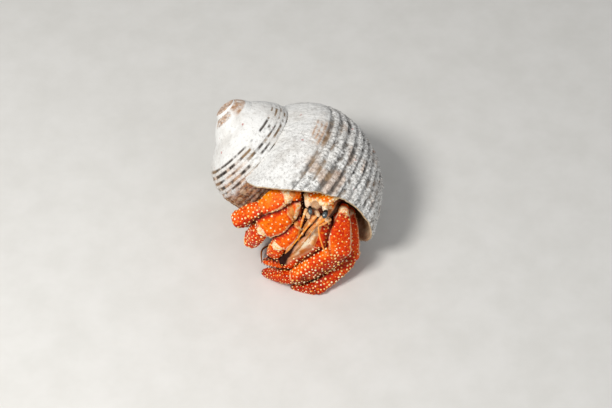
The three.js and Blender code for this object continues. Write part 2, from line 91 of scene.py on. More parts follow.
# Each limb is a chain of four pieces between five joints. "across" is the direction of its widths,
# and widths, depths and tones are given along or across each piece. Tones run from 0, yellow-orange,
# to 1.5, dark red. "cream" holds how much of a piece's root and tip is cream, and how far in from
# its two edges a cream line lies. "pearls" is how thickly the bumps stand, "arch" how far a piece's
# middle is moved along "across", and "reach" how far its ends go past the joints, in thicknesses.
# Places are in the modelling frame: x to the crab's left, y backwards and z up from the floor.
LEG_PIECES = ["merus", "carpus", "propodus", "dactyl"]
CLAW_PIECES = ["merus", "carpus", "palm", "finger"]
NO_ARCH = (0, 0, 0, 0)
RIGHT_REACH = (0.38, 0.14, 0.38, 0.12)
LEFT_REACH = (0.1, 0.4, 0.38, 0.12)
# The higher tones on some sides and pieces, such as the low edges of leg3_right, the outer side of
# leg2_left's propodus and all of leg3_left, are partly their own deep red and partly painted shade.
LIMBS = {
    "leg3_right": {
        "pieces": LEG_PIECES,
        "joints": [
            (3, -8, 22), (-1.0, -13.9, 32.6), (-11.4, -15.2, 26.3),
            (-19.2, -15.3, 21.1), (-16.4, -8, 9),
        ],
        "across": (0.5, 0.55, 0.65),
        "widths": [(4, 4.6, 3.8), (3.8, 7.2, 5.6), (5.7, 6.4, 5.6), (4.8, 3.6, 2.2, 0.9)],
        "depths": [(4, 4.2, 4.0), (4.0, 4.8, 4.8), (4.8, 4.8, 4.6), (3.8, 3, 2, 0.9)],
        "tones": [(0.4, 0.3, 0.3), (1.0, 0.34, 0.15), (1.2, 0.62, 0.55), (0.9, 0.9, 0.9)],
        "cream": [(0, 0, 0, 0), (0.24, 0.03, 0.12, 0), (0.05, 0, 0, 0), (0.02, 0, 0, 0)],
        "pearls": [0.6, 0.7, 1.0, 0.8],
        "arch": (0, 1.1, 0.3, 0),
        "reach": RIGHT_REACH,
    },
    "leg2_right": {
        "pieces": LEG_PIECES,
        "joints": [
            (2.7, -7.8, 19.6), (-2, -15.8, 26.2), (-11.4, -18.4, 21),
            (-15, -16.6, 12.6), (-11.8, -9.7, 3.8),
        ],
        "across": (0.35, 0.5, 0.75),
        "widths": [(4, 7.5, 9.4), (7.8, 11.2, 9.0), (7.8, 8, 6), (5, 3.8, 2.6, 0.9)],
        "depths": [(4, 5, 5.2), (5, 5.8, 5.2), (5.2, 5.4, 4.8), (4, 3, 2, 0.9)],
        "tones": [(0.5, 0.4, 0.4), (0.7, 0.36, 0.3), (0.9, 0.74, 0.7), (0.9, 0.9, 0.9)],
        "cream": [(0, 0.16, 0.3, 0.3), (0.1, 0.055, 0.1, 0.2), (0.08, 0, 0, 0), (0.02, 0, 0, 0)],
        "pearls": [0.7, 0.6, 0.58, 0.6],
        "arch": (0, 0.9, 0, 0),
        "reach": RIGHT_REACH,
    },
    "leg2_left": {
        "pieces": LEG_PIECES,
        "joints": [
            (12.6, -9, 18.5), (15.1, -16, 26), (13.8, -24, 15.4),
            (-0.2, -27.2, 5.8), (-11.2, -20.8, 0.45),
        ],
        "across": (0.95, 0.2, 0.1),
        "widths": [(4.4, 5.0, 4.6), (4.6, 7.8, 8.2), (8.0, 8.6, 7.8, 6.0), (6.0, 6.2, 5.2, 2.8)],
        "depths": [(4.4, 5, 5), (5, 5.8, 5.6), (5.6, 5.8, 5.2, 4.4), (4.4, 4.2, 3.4, 2.4)],
        "tones": [(0.7, 0.7, 0.7), (0.5, 0.8, 0.75), (0.5, 1.15, 1.4), (1.05, 0.9, 0.7)],
        "cream": [(0, 0, 0, 0), (0.14, 0, 0.18, 0.14), (0, 0.05, 0, 0), (0.02, 0, 0, 0)],
        "pearls": [0.6, 0.7, 1.0, 0.9],
        "arch": (0, -0.5, 0, 0),
        "reach": LEFT_REACH,
    },
    "leg3_left": {
        "pieces": LEG_PIECES,
        "joints": [
            (14, -5.7, 13.5), (17, -12.8, 20.6), (17.9, -20, 8.2),
            (6.6, -28.4, 1.45), (-1.6, -27.4, 0.7),
        ],
        "across": (0.95, 0.2, 0.1),
        "widths": [(4, 5, 5.2), (5.2, 6, 5.8), (5.8, 6.4, 5.8, 4.8), (4.6, 3.8, 2.8, 1.4)],
        "depths": [(4, 4.6, 4.6), (4.6, 5, 4.8), (4.8, 5.4, 5, 4.6), (4.4, 3.4, 2.4, 1.4)],
        "tones": [(0.6, 0.6, 0.6), (0.95, 0.85, 0.7), (1.2, 1.05, 0.95), (1.1, 1.0, 0.95)],
        "cream": [(0, 0.02, 0, 0), (0.06, 0, 0.12, 0.14), (0, 0, 0, 0), (0, 0, 0, 0)],
        "pearls": [0.6, 0.8, 0.65, 0.6],
        "arch": NO_ARCH,
        "reach": LEFT_REACH,
    },
    "cheliped_right": {
        "pieces": CLAW_PIECES,
        "joints": [
            (2.7, -10.6, 17.3), (0.1, -17.4, 21), (-5.6, -20.8, 15.6),
            (-7.4, -18.6, 7.6), (-6.6, -16.2, 3.4),
        ],
        "across": (0.5, 0.5, 0.7),
        "widths": [(4, 5, 5.8), (5.8, 7.6, 7.2), (6.8, 7, 5.2), (3.8, 3, 1.2)],
        "depths": [(4, 4.6, 4.8), (4.8, 5.4, 5.4), (5.2, 5.6, 4.4), (3.2, 2.6, 1.2)],
        "tones": [(0.7, 0.6, 0.6), (0.65, 0.42, 0.42), (0.7, 0.4, 0.4), (0.7, 0.55, 0.5)],
        "cream": [(0, 0.03, 0, 0), (0.1, 0.06, 0.24, 0.2), (0.12, 0, 0, 0), (0, 0, 0, 0)],
        "pearls": [0.6, 0.9, 0.5, 0.6],
        "arch": (0, 0.3, 0, 0),
        "reach": RIGHT_REACH,
    },
    "cheliped_left": {
        "pieces": CLAW_PIECES,
        "joints": [
            (9.2, -10.8, 19), (9.4, -18.2, 23.2), (7.3, -21.2, 16.4),
            (-3.8, -22.3, 8.0), (-11, -20.6, 6),
        ],
        "across": (-0.6, 0.3, 0.75),
        "widths": [(4.4, 6, 7.4), (7.4, 8.6, 9.6), (10.4, 12.8, 10.8, 6.2), (5.4, 4.6, 3.4, 1.8)],
        "depths": [(4.4, 5, 5.2), (5.2, 6, 6), (6, 6.4, 5.2, 3.8), (3.6, 3.4, 2.8, 1.6)],
        "tones": [(0.5, 0.5, 0.5), (0.5, 0.95, 0.6), (0.45, 0.95, 0.7), (0.5, 0.6, 0.6)],
        "cream": [(0, 0.1, 0, 0), (0.07, 0.05, 0.1, 0), (0.03, 0.02, 0.05, 0), (0, 0, 0.05, 0.2)],
        "pearls": [0.6, 0.9, 1.0, 0.8],
        "arch": NO_ARCH,
        "reach": (0.38, 0.3, 0.38, 0.12),
    },
}

PEARL_SPACING = {
    "merus": 1.4, "carpus": 1.35, "propodus": 1.08, "dactyl": 0.95, "palm": 1.05, "finger": 0.95,
}
PEARL_SIZE = {
    "merus": 0.22, "carpus": 0.27, "propodus": 0.34, "dactyl": 0.25, "palm": 0.32, "finger": 0.2,
}
SHIELD_PEARL_SPACING = 1.0
SHIELD_PEARL_SIZE = 0.36
TIPS = ("dactyl", "finger")
SPINE_ROWS = (0.35, 0.75, 2.4)  # the turns at which the rows of dark points run along the tips
DOTTED_PIECES = ("cheliped_left_finger", "leg2_left_dactyl")
DARKEST_TONE = 1.5
CREAM_LINE = 0.07  # the width of the cream lines beside the edges of a plate
SHADE_START = 1.4  # the first pieces of the limbs are in the dark between this x
SHADE_END = 14.9  # and this one
INNER_FACE = -0.2  # the big claw's smooth face lies where the sine of "turn" is above this

EYES = {
    "right": {
        "stalk": [(7.2, -15.5, 31.0), (6.4, -17.6, 31.9), (5.6, -19.4, 31.7)],
        "stalk_widths": (2.4, 3.2, 2.4),
        "stalk_depths": (1.8, 2.4, 2.0),
        "cornea": [(4.2, -18.9, 32.1), (4.5, -21.3, 31.2)],
        "cornea_size": (1.5, 1.6),
    },
    "left": {
        "stalk": [(9.0, -16.6, 31.1), (9.1, -18.8, 31.7), (9.3, -20.0, 31.4)],
        "stalk_widths": (1.9, 2.0, 1.8),
        "stalk_depths": (1.6, 1.9, 1.8),
        "cornea": [(9.5, -20.1, 31.6), (8.7, -22.4, 30.7)],
        "cornea_size": (1.8, 1.8),
    },
}
EYE_ACROSS = (0.97, -0.2, 0.15)
CORNEA_HIGHLIGHT_FACING = (-0.1, -0.75, 0.65)  # the way that the painted highlight on the middle of a cornea faces
OCULAR_SCALES = [[(6.9, -17.2, 32.2), (7.5, -18.9, 31.6)], [(8.5, -17.1, 32.3), (8.2, -18.8, 31.7)]]

MOUTH_LOBES = [
    [(3.7, -19.0, 29.2), (3.8, -20.2, 27.6)],
    [(6.1, -18.7, 29.9), (7.2, -20.5, 29.0)],
    [(10.2, -20.0, 28.3), (9.3, -21.3, 27.5)],
]

SHIELD = {
    "points": [(5.7, -17.4, 32.1), (8.9, -12.3, 32.5), (12.9, -6.6, 32.3)],
    "across": (0.81, -0.55, 0.23),
    "widths": (9.4, 12.4, 13.4, 11),
    "depths": (1.8, 3.6, 4.2, 4),
}
RIM = {
    "points": [
        (4.0, -13.0, 30.9), (5.9, -14.6, 31.8), (8.1, -15.6, 32.0), (10.4, -16.5, 30.7),
        (12.2, -17.3, 27.9),
    ],
    "across": (0.3, 0.75, 0.55),
    "widths": (2.2, 2.6, 2.8, 2.4, 1.2),
    "depths": (1.6, 2.0, 2.0, 1.8, 1.2),
}
RIGHT_FLANK = [(4.5, -11.3, 31.2), (3.9, -14.6, 31.1), (3.8, -17.0, 29.4)]
LEFT_FLANK = [(12.7, -14.3, 28.8), (11.4, -17.0, 28.4), (9.9, -19.2, 27.2)]

# Feelers and mouthparts: a line, its diameters, how cream its two ends are, and how dark they are.
FEELER_ACROSS = (0.8, -0.5, 0.2)
FEELER_JOINTS = (0.3, 0.62)  # where the articles of a rod meet, as shares of its length
HOLDING_LEG_JOINTS = (0.35, 0.7)
FEELERS = {
    "antennule_peduncle_right": (
        [(6.5, -19.7, 29.1), (2.8, -23.4, 26.0), (-1.1, -26.4, 21.9)],
        (1.7, 0.75, 0.52, 0.46), (0.5, 0.0), (0.0, 0.0),
    ),
    "antennule_flagellum_right": (
        [(-1.1, -26.4, 21.9), (-2.6, -27.1, 20.3), (-3.8, -27.6, 18.8)],
        (0.5, 0.8, 0.4), (0.3, 0.5), (0.1, 0.4),
    ),
    "antennule_peduncle_left": (
        [(8.3, -20.0, 28.6), (5.3, -23.2, 25.7), (2.5, -25.9, 22.6)],
        (1.7, 0.7, 0.5, 0.45), (0.7, 0.0), (0.0, 0.45),
    ),
    "antennule_flagellum_left": (
        [(2.3, -26.0, 22.5), (0.4, -27.2, 20.7), (-1.2, -28.0, 19.0)],
        (0.5, 0.7, 0.4), (0.5, 0.5), (0.5, 0.5),
    ),
    "antenna_peduncle_right": (
        [(3.2, -18.0, 30.0), (2.1, -19.9, 27.6), (1.2, -21.9, 25.1)],
        (1.4, 0.8, 0.66, 0.6), (0.9, 0.0), (0.0, 0.0),
    ),
    "antenna_peduncle_left": (
        [(11.0, -20.6, 28.1), (9.3, -21.7, 27.2), (7.0, -22.5, 26.4)],
        (1.5, 0.8, 0.7, 0.6), (0.6, 0.2), (0.2, 0.1),
    ),
    "antenna_flagellum_right": (
        [
            (0.9, -22.2, 24.4), (0.2, -21, 15), (-2.6, -15, 7.6), (-7.4, -11.3, 3),
            (-11.6, -13, 2.6), (-11.8, -18, 1.4),
        ],
        (0.8, 0.6), (0.1, 0.1), (0.4, 0.75),
    ),
    "antenna_flagellum_left": (
        [(7.0, -22.5, 26.3), (7.3, -24.4, 24.4), (8.2, -26.6, 22.0), (9.4, -28.8, 19.9)],
        (0.6, 0.5), (0.3, 0.2), (0.0, 0.0),
    ),
    "maxilliped_right": (
        [(5.6, -19.1, 27.8), (3.8, -20.3, 26.0), (2.5, -21.4, 24.0), (1.7, -21.7, 20.6)],
        (1.3, 1.1, 1.0, 0.8), (0.5, 0.3), (0.2, 0.8),
    ),
    "maxilliped_left": (
        [(9.1, -20.4, 27.7), (6.4, -21.8, 26.5), (4.0, -22.8, 24.4), (3.0, -22.4, 21.4)],
        (1.4, 1.3, 1.1, 0.9), (0.1, 0.7), (0.0, 0.5),
    ),
}

MOUTH = (6.6, -16.4, 25.4)
TRUNK_RADIUS = 19.0
TRUNK_DROP = 47.0
TRUNK_TURNS = [-40, -80, -120, -170, -215, -250]
TRUNK_WIDTHS = (7, 12, 12, 11, 11, 12, 10, 8.5, 6)
TRUNK_DEPTHS = (6, 9, 10, 10, 10, 11, 9, 7.5, 5)
TRUNK_ACROSS = (0.75, -0.5, -0.2)
# The breast stands under the body as a sheet painted dark for the shade there.
BREAST = [(6.0, -14.5, 24.0), (4.2, -14.0, 18.0), (4.0, -12.5, 12.0), (6.0, -10.0, 9.0)]
HOLDING_LEGS = {
    "leg4_right": ([(3.6, -2.4, 28), (1.6, -4, 32), (3.4, -7, 35)], 2.6, 1.6),
    "leg4_left": ([(15, -8, 26), (18, -9, 29), (17.5, -12, 32)], 2.6, 1.6),
    "leg5_right": ([(5, 3, 28.5), (3.5, 2, 32), (5.5, -1, 34.5)], 2, 1.3),
    "leg5_left": ([(14, -1, 27.5), (16.5, 0, 30.5), (16, -3, 33)], 2, 1.3),
}

# ---- small helpers


def smoothstep(low, high, values):
    """0 at low, 1 at high and smooth between them. low may be the greater one."""
    k = np.clip((np.asarray(values, float) - low) / (high - low), 0, 1)
    return k * k * (3 - 2 * k)


def band(values, start, full, fading, end):
    """1 between full and fading, and 0 before start and after end."""
    return smoothstep(start, full, values) * smoothstep(end, fading, values)


def near(values, middle, width):
    """1 at the middle, and fading to nothing at about twice width from it."""
    return np.exp(-(((values - middle) / width) ** 2))


def unit(vectors):
    """Vectors brought to length 1."""
    vectors = np.asarray(vectors, float)
    return vectors / np.maximum(np.linalg.norm(vectors, axis=-1, keepdims=True), 1e-9)


def noise(points, size, seed):
    """Smooth noise from -1 to 1 in space, with lumps about size across."""
    table = np.random.default_rng(seed).uniform(-1, 1, (32, 32, 32))
    q = np.asarray(points, float) / size + 100.0
    cell = np.floor(q).astype(int)
    part = q - cell
    part = part * part * (3 - 2 * part)
    total = np.zeros(q.shape[:-1])
    for corner in np.ndindex(2, 2, 2):
        index = (cell + corner) % 32
        weight = np.prod(np.where(np.array(corner) == 1, part, 1 - part), axis=-1)
        total += weight * table[index[..., 0], index[..., 1], index[..., 2]]
    return total


def layered_noise(points, size, seed, layers=3):
    """Noise with finer and weaker noise added to it."""
    total = np.zeros(np.asarray(points).shape[:-1])
    for i in range(layers):
        total += noise(points, size / 2**i, seed + i) / 2**i
    return total


def through(values, s):
    """A smooth curve through equally spaced values, read at places s from 0 to 1."""
    values = np.asarray(values, float)
    padded = np.concatenate([values[:1] * 2 - values[1:2], values, values[-1:] * 2 - values[-2:-1]])
    place = np.clip(s, 0, 1) * (len(values) - 1)
    start = np.minimum(np.floor(place).astype(int), len(values) - 2)
    k = place - start
    if values.ndim == 2:
        k = k[..., None]
    a, b, c, d = (padded[start + i] for i in range(4))
    return b + 0.5 * k * (c - a + k * (2 * a - 5 * b + 4 * c - d + k * (3 * (b - c) + d - a)))


# ---- surfaces into objects


def patch(points, closed=False, masks=None, material=0):
    """A grid of points as quads. closed joins the last column to the first."""
    rows, columns = points.shape[:2]
    index = np.arange(rows * columns).reshape(rows, columns)
    if closed:
        index = np.concatenate([index, index[:, :1]], axis=1)
    corners = [index[:-1, :-1], index[:-1, 1:], index[1:, 1:], index[1:, :-1]]
    faces = np.stack(corners, axis=-1).reshape(-1, 4)
    flat = {name: np.broadcast_to(values, (rows, columns)).ravel() for name, values in (masks or {}).items()}
    material_numbers = np.full(len(faces), material)
    return {"points": points.reshape(-1, 3), "faces": faces, "masks": flat, "material": material_numbers}


def capped(points, masks=None, material=0):
    """A closed grid whose first and last rows shrink to single points, as a ball's do."""
    whole = patch(points, closed=True, masks=masks, material=material)
    columns = points.shape[1]
    count = len(whole["points"])
    poles = np.stack([points[0].mean(0), points[-1].mean(0)])
    ring = np.arange(columns)
    after = np.roll(ring, -1)
    last = count - columns
    none = np.full(columns, -1)
    first_cap = np.stack([np.full(columns, count), after, ring, none], axis=-1)
    last_cap = np.stack([np.full(columns, count + 1), ring + last, after + last, none], axis=-1)
    whole["points"] = np.concatenate([whole["points"], poles])
    whole["faces"] = np.concatenate([whole["faces"], first_cap, last_cap])
    whole["material"] = np.concatenate([whole["material"], np.full(2 * columns, material)])
    for name, values in whole["masks"].items():
        whole["masks"][name] = np.concatenate([values, [values[0], values[-1]]])
    return whole


def joined(patches):
    """Several patches as one. A mask that a patch lacks is 0 there."""
    names = sorted({name for p in patches for name in p["masks"]})
    offset = 0
    faces = []
    masks = {name: [] for name in names}
    for p in patches:
        faces.append(np.where(p["faces"] < 0, -1, p["faces"] + offset))
        offset += len(p["points"])
        for name in names:
            masks[name].append(p["masks"].get(name, np.zeros(len(p["points"]))))
    return {
        "points": np.concatenate([p["points"] for p in patches]),
        "faces": np.concatenate(faces),
        "material": np.concatenate([p["material"] for p in patches]),
        "masks": {name: np.concatenate(values) for name, values in masks.items()},
    }


def make_piece(name, patches, materials, replaces=()):
    """One object from patches, riding on the model. What would lie below the floor is lifted to it."""
    whole = joined(patches)
    points = (whole["points"] - MIDDLE) * MILLIMETRE
    points[:, 2] = np.maximum(points[:, 2], 0.0)
    faces = whole["faces"]
    sizes = np.where(faces[:, 3] < 0, 3, 4)
    corners = faces[faces >= 0]
    mesh = bpy.data.meshes.new(name)
    mesh.vertices.add(len(points))
    mesh.vertices.foreach_set("co", points.ravel())
    mesh.loops.add(len(corners))
    mesh.loops.foreach_set("vertex_index", corners)
    mesh.polygons.add(len(faces))
    mesh.polygons.foreach_set("loop_start", np.concatenate([[0], np.cumsum(sizes)[:-1]]))
    mesh.polygons.foreach_set("material_index", whole["material"])
    mesh.update(calc_edges=True)
    mesh.polygons.foreach_set("use_smooth", np.ones(len(faces), bool))
    for mask, values in whole["masks"].items():
        layer = mesh.attributes.new(mask, "FLOAT", "POINT")
        layer.data.foreach_set("value", values.astype(np.float32))
    for material in materials:
        mesh.materials.append(material)
    mesh.validate()
    piece = bpy.data.objects.new(name, mesh)
    bpy.context.collection.objects.link(piece)
    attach(piece, "root")
    if replaces:
        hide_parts(*replaces)


# ---- materials


def colour(code):
    """A colour written as sRGB hex digits, as the linear numbers that the shader takes."""
    parts = [int(code[i : i + 2], 16) / 255 for i in (0, 2, 4)]
    linear = [c / 12.92 if c <= 0.04045 else ((c + 0.055) / 1.055) ** 2.4 for c in parts]
    return (*linear, 1.0)


COAT_ROUGHNESS = 0.15
SKIN_DEPTH = 0.6 * MILLIMETRE  # how far light goes into the joint skin


class Shader:
    """A material under construction: a Principled shader and the nodes that feed it."""

    def __init__(self, name, roughness, specular=0.5, coat=0.0, subsurface=0.0):
        self.material = bpy.data.materials.new(name)
        self.material.use_nodes = True
        self.tree = self.material.node_tree
        self.main = next(n for n in self.tree.nodes if n.type == "BSDF_PRINCIPLED")
        self.main.inputs["Roughness"].default_value = roughness
        self.main.inputs["Specular IOR Level"].default_value = specular
        self.main.inputs["Coat Weight"].default_value = coat
        self.main.inputs["Coat Roughness"].default_value = COAT_ROUGHNESS
        if subsurface:
            self.main.inputs["Subsurface Weight"].default_value = subsurface
            self.main.inputs["Subsurface Scale"].default_value = SKIN_DEPTH
        self.place = self.node("ShaderNodeTexCoord").outputs["Object"]

    def node(self, kind, **settings):
        made = self.tree.nodes.new(kind)
        for key, value in settings.items():
            setattr(made, key, value)
        return made

    def feed(self, socket, value):
        if isinstance(value, bpy.types.NodeSocket):
            self.tree.links.new(value, socket)
        else:
            socket.default_value = value

    def mask(self, name):
        return self.node("ShaderNodeAttribute", attribute_name=name).outputs["Fac"]

    def grain(self, size, detail=4.0, roughness=0.6):
        """Noise from 0 to 1 with lumps about size millimetres across."""
        texture = self.node("ShaderNodeTexNoise")
        texture.inputs["Scale"].default_value = 1.0 / (size * MILLIMETRE)
        texture.inputs["Detail"].default_value = detail
        texture.inputs["Roughness"].default_value = roughness
        self.feed(texture.inputs["Vector"], self.place)
        return texture.outputs["Fac"]

    def cells(self, size):
        """The distance to the nearest of points about size millimetres apart, from 0 to 1."""
        texture = self.node("ShaderNodeTexVoronoi")
        texture.inputs["Scale"].default_value = 1.0 / (size * MILLIMETRE)
        self.feed(texture.inputs["Vector"], self.place)
        return texture.outputs["Distance"]

    def between(self, value, low, high):
        """value spread so that low becomes 0 and high becomes 1."""
        spread = self.node("ShaderNodeMapRange", interpolation_type="SMOOTHSTEP")
        self.feed(spread.inputs["Value"], value)
        spread.inputs["From Min"].default_value = low
        spread.inputs["From Max"].default_value = high
        return spread.outputs["Result"]

    def maths(self, operation, a, b):
        result = self.node("ShaderNodeMath", operation=operation, use_clamp=True)
        self.feed(result.inputs[0], a)
        self.feed(result.inputs[1], b)
        return result.outputs[0]

    def times(self, a, b):
        return self.maths("MULTIPLY", a, b)

    def plus(self, a, b):
        return self.maths("ADD", a, b)

    def where(self, value, low, high, amount):
        """amount where value is high, and nothing where it is low."""
        return self.times(self.between(value, low, high), amount)

    def mix(self, amount, a, b):
        blend = self.node("ShaderNodeMix", data_type="RGBA")
        self.feed(blend.inputs["Factor"], amount)
        self.feed(blend.inputs["A"], a)
        self.feed(blend.inputs["B"], b)
        return blend.outputs["Result"]

    def blend(self, value, low, high, first, second):
        """The first colour where value is low, and the second where it is high."""
        return self.mix(self.between(value, low, high), colour(first), colour(second))

    def over(self, base, amount, code):
        """A colour laid over base."""
        return self.mix(amount, base, colour(code))

    def bump(self, height, depth, normal=None):
        """Relief of depth millimetres from a height of 0 to 1."""
        relief = self.node("ShaderNodeBump")
        relief.inputs["Strength"].default_value = 1.0
        relief.inputs["Distance"].default_value = depth * MILLIMETRE
        self.feed(relief.inputs["Height"], height)
        if normal:
            self.feed(relief.inputs["Normal"], normal)
        return relief.outputs["Normal"]

    def done(self, base, normal=None):
        self.feed(self.main.inputs["Base Color"], base)
        if normal:
            self.feed(self.main.inputs["Normal"], normal)
        return self.material


def chalk_material():
    """Worn outer layer: white, with dirt in the grooves, grey grime, tan places, red specks, and a brown
    underside that is darkened partly as painted shade.
    """
    shader = Shader("shell_chalk", 0.85, specular=0.2)
    broad = shader.grain(8.0, 3.0)
    middle = shader.grain(2.4, 5.0, 0.6)
    fine = shader.grain(1.0, 6.0, 0.75)
    dust = shader.grain(0.4, 4.0, 0.7)
    white = shader.blend(broad, 0.42, 0.66, "FAFAF8", "E9E7E3")
    white = shader.over(white, shader.where(fine, 0.52, 0.68, 0.55), "C4C1BC")
    grey = shader.blend(dust, 0.4, 0.62, "C6C3BF", "6E6A66")
    grey_place = shader.where(fine, 0.42, 0.62, shader.mask("grime"))
    base = shader.mix(shader.times(grey_place, 0.85), white, grey)
    specks = shader.where(dust, 0.57, 0.66, shader.between(middle, 0.42, 0.6))
    base = shader.over(base, shader.times(specks, shader.mask("grime")), "4A4643")
    tan = shader.blend(fine, 0.35, 0.65, "DDBB9B", "9C6E50")
    base = shader.mix(shader.where(middle, 0.15, 0.5, shader.mask("tan")), base, tan)
    dirt = shader.blend(middle, 0.42, 0.6, "5C554F", "2B2725")
    dirt = shader.over(dirt, shader.between(broad, 0.5, 0.6), "8E7355")
    base = shader.mix(shader.where(dust, 0.2, 0.45, shader.mask("groove")), base, dirt)
    brown = shader.blend(fine, 0.4, 0.62, "B4733F", "553016")
    brown = shader.over(brown, shader.where(middle, 0.52, 0.6, 0.7), "D8B794")
    base = shader.mix(shader.mask("brown"), base, brown)
    red = shader.where(shader.cells(5.5), 0.11, 0.05, shader.between(dust, 0.4, 0.5))
    base = shader.over(base, shader.times(red, 0.75), "B83A2C")
    normal = shader.bump(middle, 0.35)
    normal = shader.bump(fine, 0.3, normal)
    normal = shader.bump(dust, 0.1, normal)
    return shader.done(base, normal)


def lip_material():
    """Inner wall: cream and beige at the lip, browner going in, and darker going in as painted shade."""
    shader = Shader("shell_inside", 0.45, specular=0.4)
    grain = shader.grain(2.5, 5.0)
    edge = shader.blend(grain, 0.35, 0.65, "D9C3A0", "A98760")
    inside = shader.blend(grain, 0.35, 0.65, "A88F6A", "6E5236")
    base = shader.mix(shader.mask("inside"), edge, inside)
    return shader.done(base, shader.bump(grain, 0.12))


def armour_material():
    """Hard cuticle: yellow-orange to deep red, with cream margins and a streaked beige inner face. Its
    darker tones and its dark are partly painted shade.
    """
    shader = Shader("armour", 0.4, specular=0.14)
    cloud = shader.grain(2.6, 4.0)
    fine = shader.grain(0.7, 5.0, 0.65)
    tone = shader.plus(shader.mask("tone"), shader.where(cloud, 0.3, 0.75, 0.14))
    base = shader.blend(tone, 0.0, 0.3, "FF9A0A", "F86C04")
    for low, high, code in ((0.3, 0.58, "E23C02"), (0.58, 0.78, "BA2002"), (0.78, 0.98, "6E1206")):
        base = shader.over(base, shader.between(tone, low, high), code)
    base = shader.over(base, shader.where(fine, 0.52, 0.64, 0.5), "FF9A20")
    base = shader.over(base, shader.where(fine, 0.47, 0.36, 0.55), "A81A02")
    cream = shader.blend(fine, 0.38, 0.62, "FFF0CF", "F6B868")
    base = shader.mix(shader.where(cloud, 0.3, 0.52, shader.mask("cream")), base, cream)
    beige = shader.blend(cloud, 0.42, 0.66, "FFEFD0", "F0AE68")
    base = shader.mix(shader.mask("beige"), base, beige)
    base = shader.over(base, shader.times(shader.mask("streak"), 0.9), "BE5C12")
    # The dark mask is partly painted shade (between the limbs, at the roots of the first pieces, along an
    # edge of the big claw's face and on the left flank under the claw) and partly the real dark of the tips
    # and dots.
    base = shader.over(base, shader.mask("dark"), "2A0C06")
    normal = shader.bump(cloud, 0.2)
    normal = shader.bump(fine, 0.16, normal)
    return shader.done(base, normal)


def pearl_material():
    """The pale beads on the armour, from cream to yellow."""
    shader = Shader("pearl", 0.35, specular=0.35)
    grain = shader.grain(1.6, 2.0)
    return shader.done(shader.blend(grain, 0.4, 0.6, "FFF0C4", "FFC968"))


def skin_material():
    """Soft joint skin: orange to brown with fine wrinkles."""
    shader = Shader("joint_skin", 0.5, subsurface=0.1)
    cloud = shader.grain(1.8, 4.0)
    wrinkle = shader.grain(0.35, 3.0)
    base = shader.blend(cloud, 0.35, 0.65, "F0A04C", "CC5A14")
    return shader.done(base, shader.bump(wrinkle, 0.06))


def stalk_material():
    """Eye stalks: cream with tan and brown freckles."""
    shader = Shader("eye_stalk", 0.4, specular=0.3)
    cloud = shader.grain(1.4, 4.0)
    freckles = shader.grain(0.4, 3.0)
    base = shader.blend(cloud, 0.4, 0.62, "FFEFD2", "E3B587")
    base = shader.over(base, shader.mask("tan"), "BE8A5C")
    base = shader.over(base, shader.where(freckles, 0.56, 0.7, 0.6), "8A4A26")
    base = shader.over(base, shader.mask("dark"), "2A1C16")
    return shader.done(base, shader.bump(freckles, 0.05))


def cornea_material():
    """Nearly black cornea with a painted grey highlight on its middle, which faces up and forward, and the
    fine net of its facets.
    """
    shader = Shader("cornea", 0.2, specular=0.5, coat=0.5)
    cloud = shader.grain(0.8, 3.0)
    middle = shader.blend(cloud, 0.35, 0.65, "6F7A7D", "3A4448")
    base = shader.mix(shader.mask("pale"), colour("101214"), middle)
    return shader.done(base, shader.bump(shader.cells(0.14), 0.008))


def feeler_material():
    """Feelers and mouthparts: orange rods with cream joints and tips."""
    shader = Shader("feeler", 0.4, specular=0.3)
    grain = shader.grain(0.9, 4.0)
    orange = shader.blend(grain, 0.35, 0.65, "FFA008", "F27A04")
    cream = shader.blend(grain, 0.35, 0.65, "FFE2B4", "F0AE6C")
    base = shader.mix(shader.mask("cream"), orange, cream)
    base = shader.over(base, shader.mask("dark"), "3A1A0C")
    return shader.done(base, shader.bump(grain, 0.04))


def flesh_material():
    """Soft body inside the shell: brownish pink, with painted shade low in the mouth of the shell and on the
    breast.
    """
    shader = Shader("flesh", 0.7, specular=0.15)
    cloud = shader.grain(3.5, 4.0)
    fine = shader.grain(0.8, 4.0)
    base = shader.blend(cloud, 0.35, 0.65, "B5714E", "7E4631")
    base = shader.over(base, shader.mask("dark"), "3A1C10")
    return shader.done(base, shader.bump(fine, 0.12))


def spine_material():
    """The nearly black points on the tips of the legs and claws."""
    shader = Shader("spine", 0.3, coat=0.3)
    grain = shader.grain(0.5, 2.0)
    return shader.done(shader.blend(grain, 0.35, 0.65, "2A1712", "120B09"))


def floor_material():
    """A plain pale floor."""
    shader = Shader("floor", 0.9, specular=0.2)
    grain = shader.grain(14.0, 3.0)
    return shader.done(shader.blend(grain, 0.2, 0.8, "E6E5E2", "DEDDD9"))


CHALK = chalk_material()
INSIDE = lip_material()
ARMOUR = armour_material()
PEARL = pearl_material()
SKIN = skin_material()
STALK = stalk_material()
CORNEA = cornea_material()
FEELER = feeler_material()
FLESH = flesh_material()
SPINE = spine_material()

# ---- shell

INSIDE_NUMBER = 1  # the inner surfaces take the second material of the shell


def turn_about(axis, degrees):
    """The matrix of a turn about the z or the y axis."""
    c = math.cos(math.radians(degrees))
    s = math.sin(math.radians(degrees))
    if axis == "z":
        return np.array([[c, -s, 0], [s, c, 0], [0, 0, 1]])
    return np.array([[c, 0, s], [0, 1, 0], [-s, 0, c]])


SHELL_AXES = turn_about("z", AXIS_HEADING) @ turn_about("y", AXIS_PITCH) @ turn_about("z", AXIS_ROLL)


def out_of_shell_frame(points):
    """Points given along the shell's axis, carried to the modelling frame."""
    return points @ SHELL_AXES.T + APEX


def wind(radius, drop, turn):
    """A place on the section carried round the axis by a turn in degrees."""
    scale = WHORL_RATIO ** (turn / 360)
    a = np.radians(turn)
    return np.stack([scale * radius * np.cos(a), scale * radius * np.sin(a), scale * drop], axis=-1)


def unrolled(turn, angle):
    """Places on the shell's surface rolled out flat, at which noise is read."""
    return np.stack([turn, angle, np.zeros_like(turn)], axis=-1)


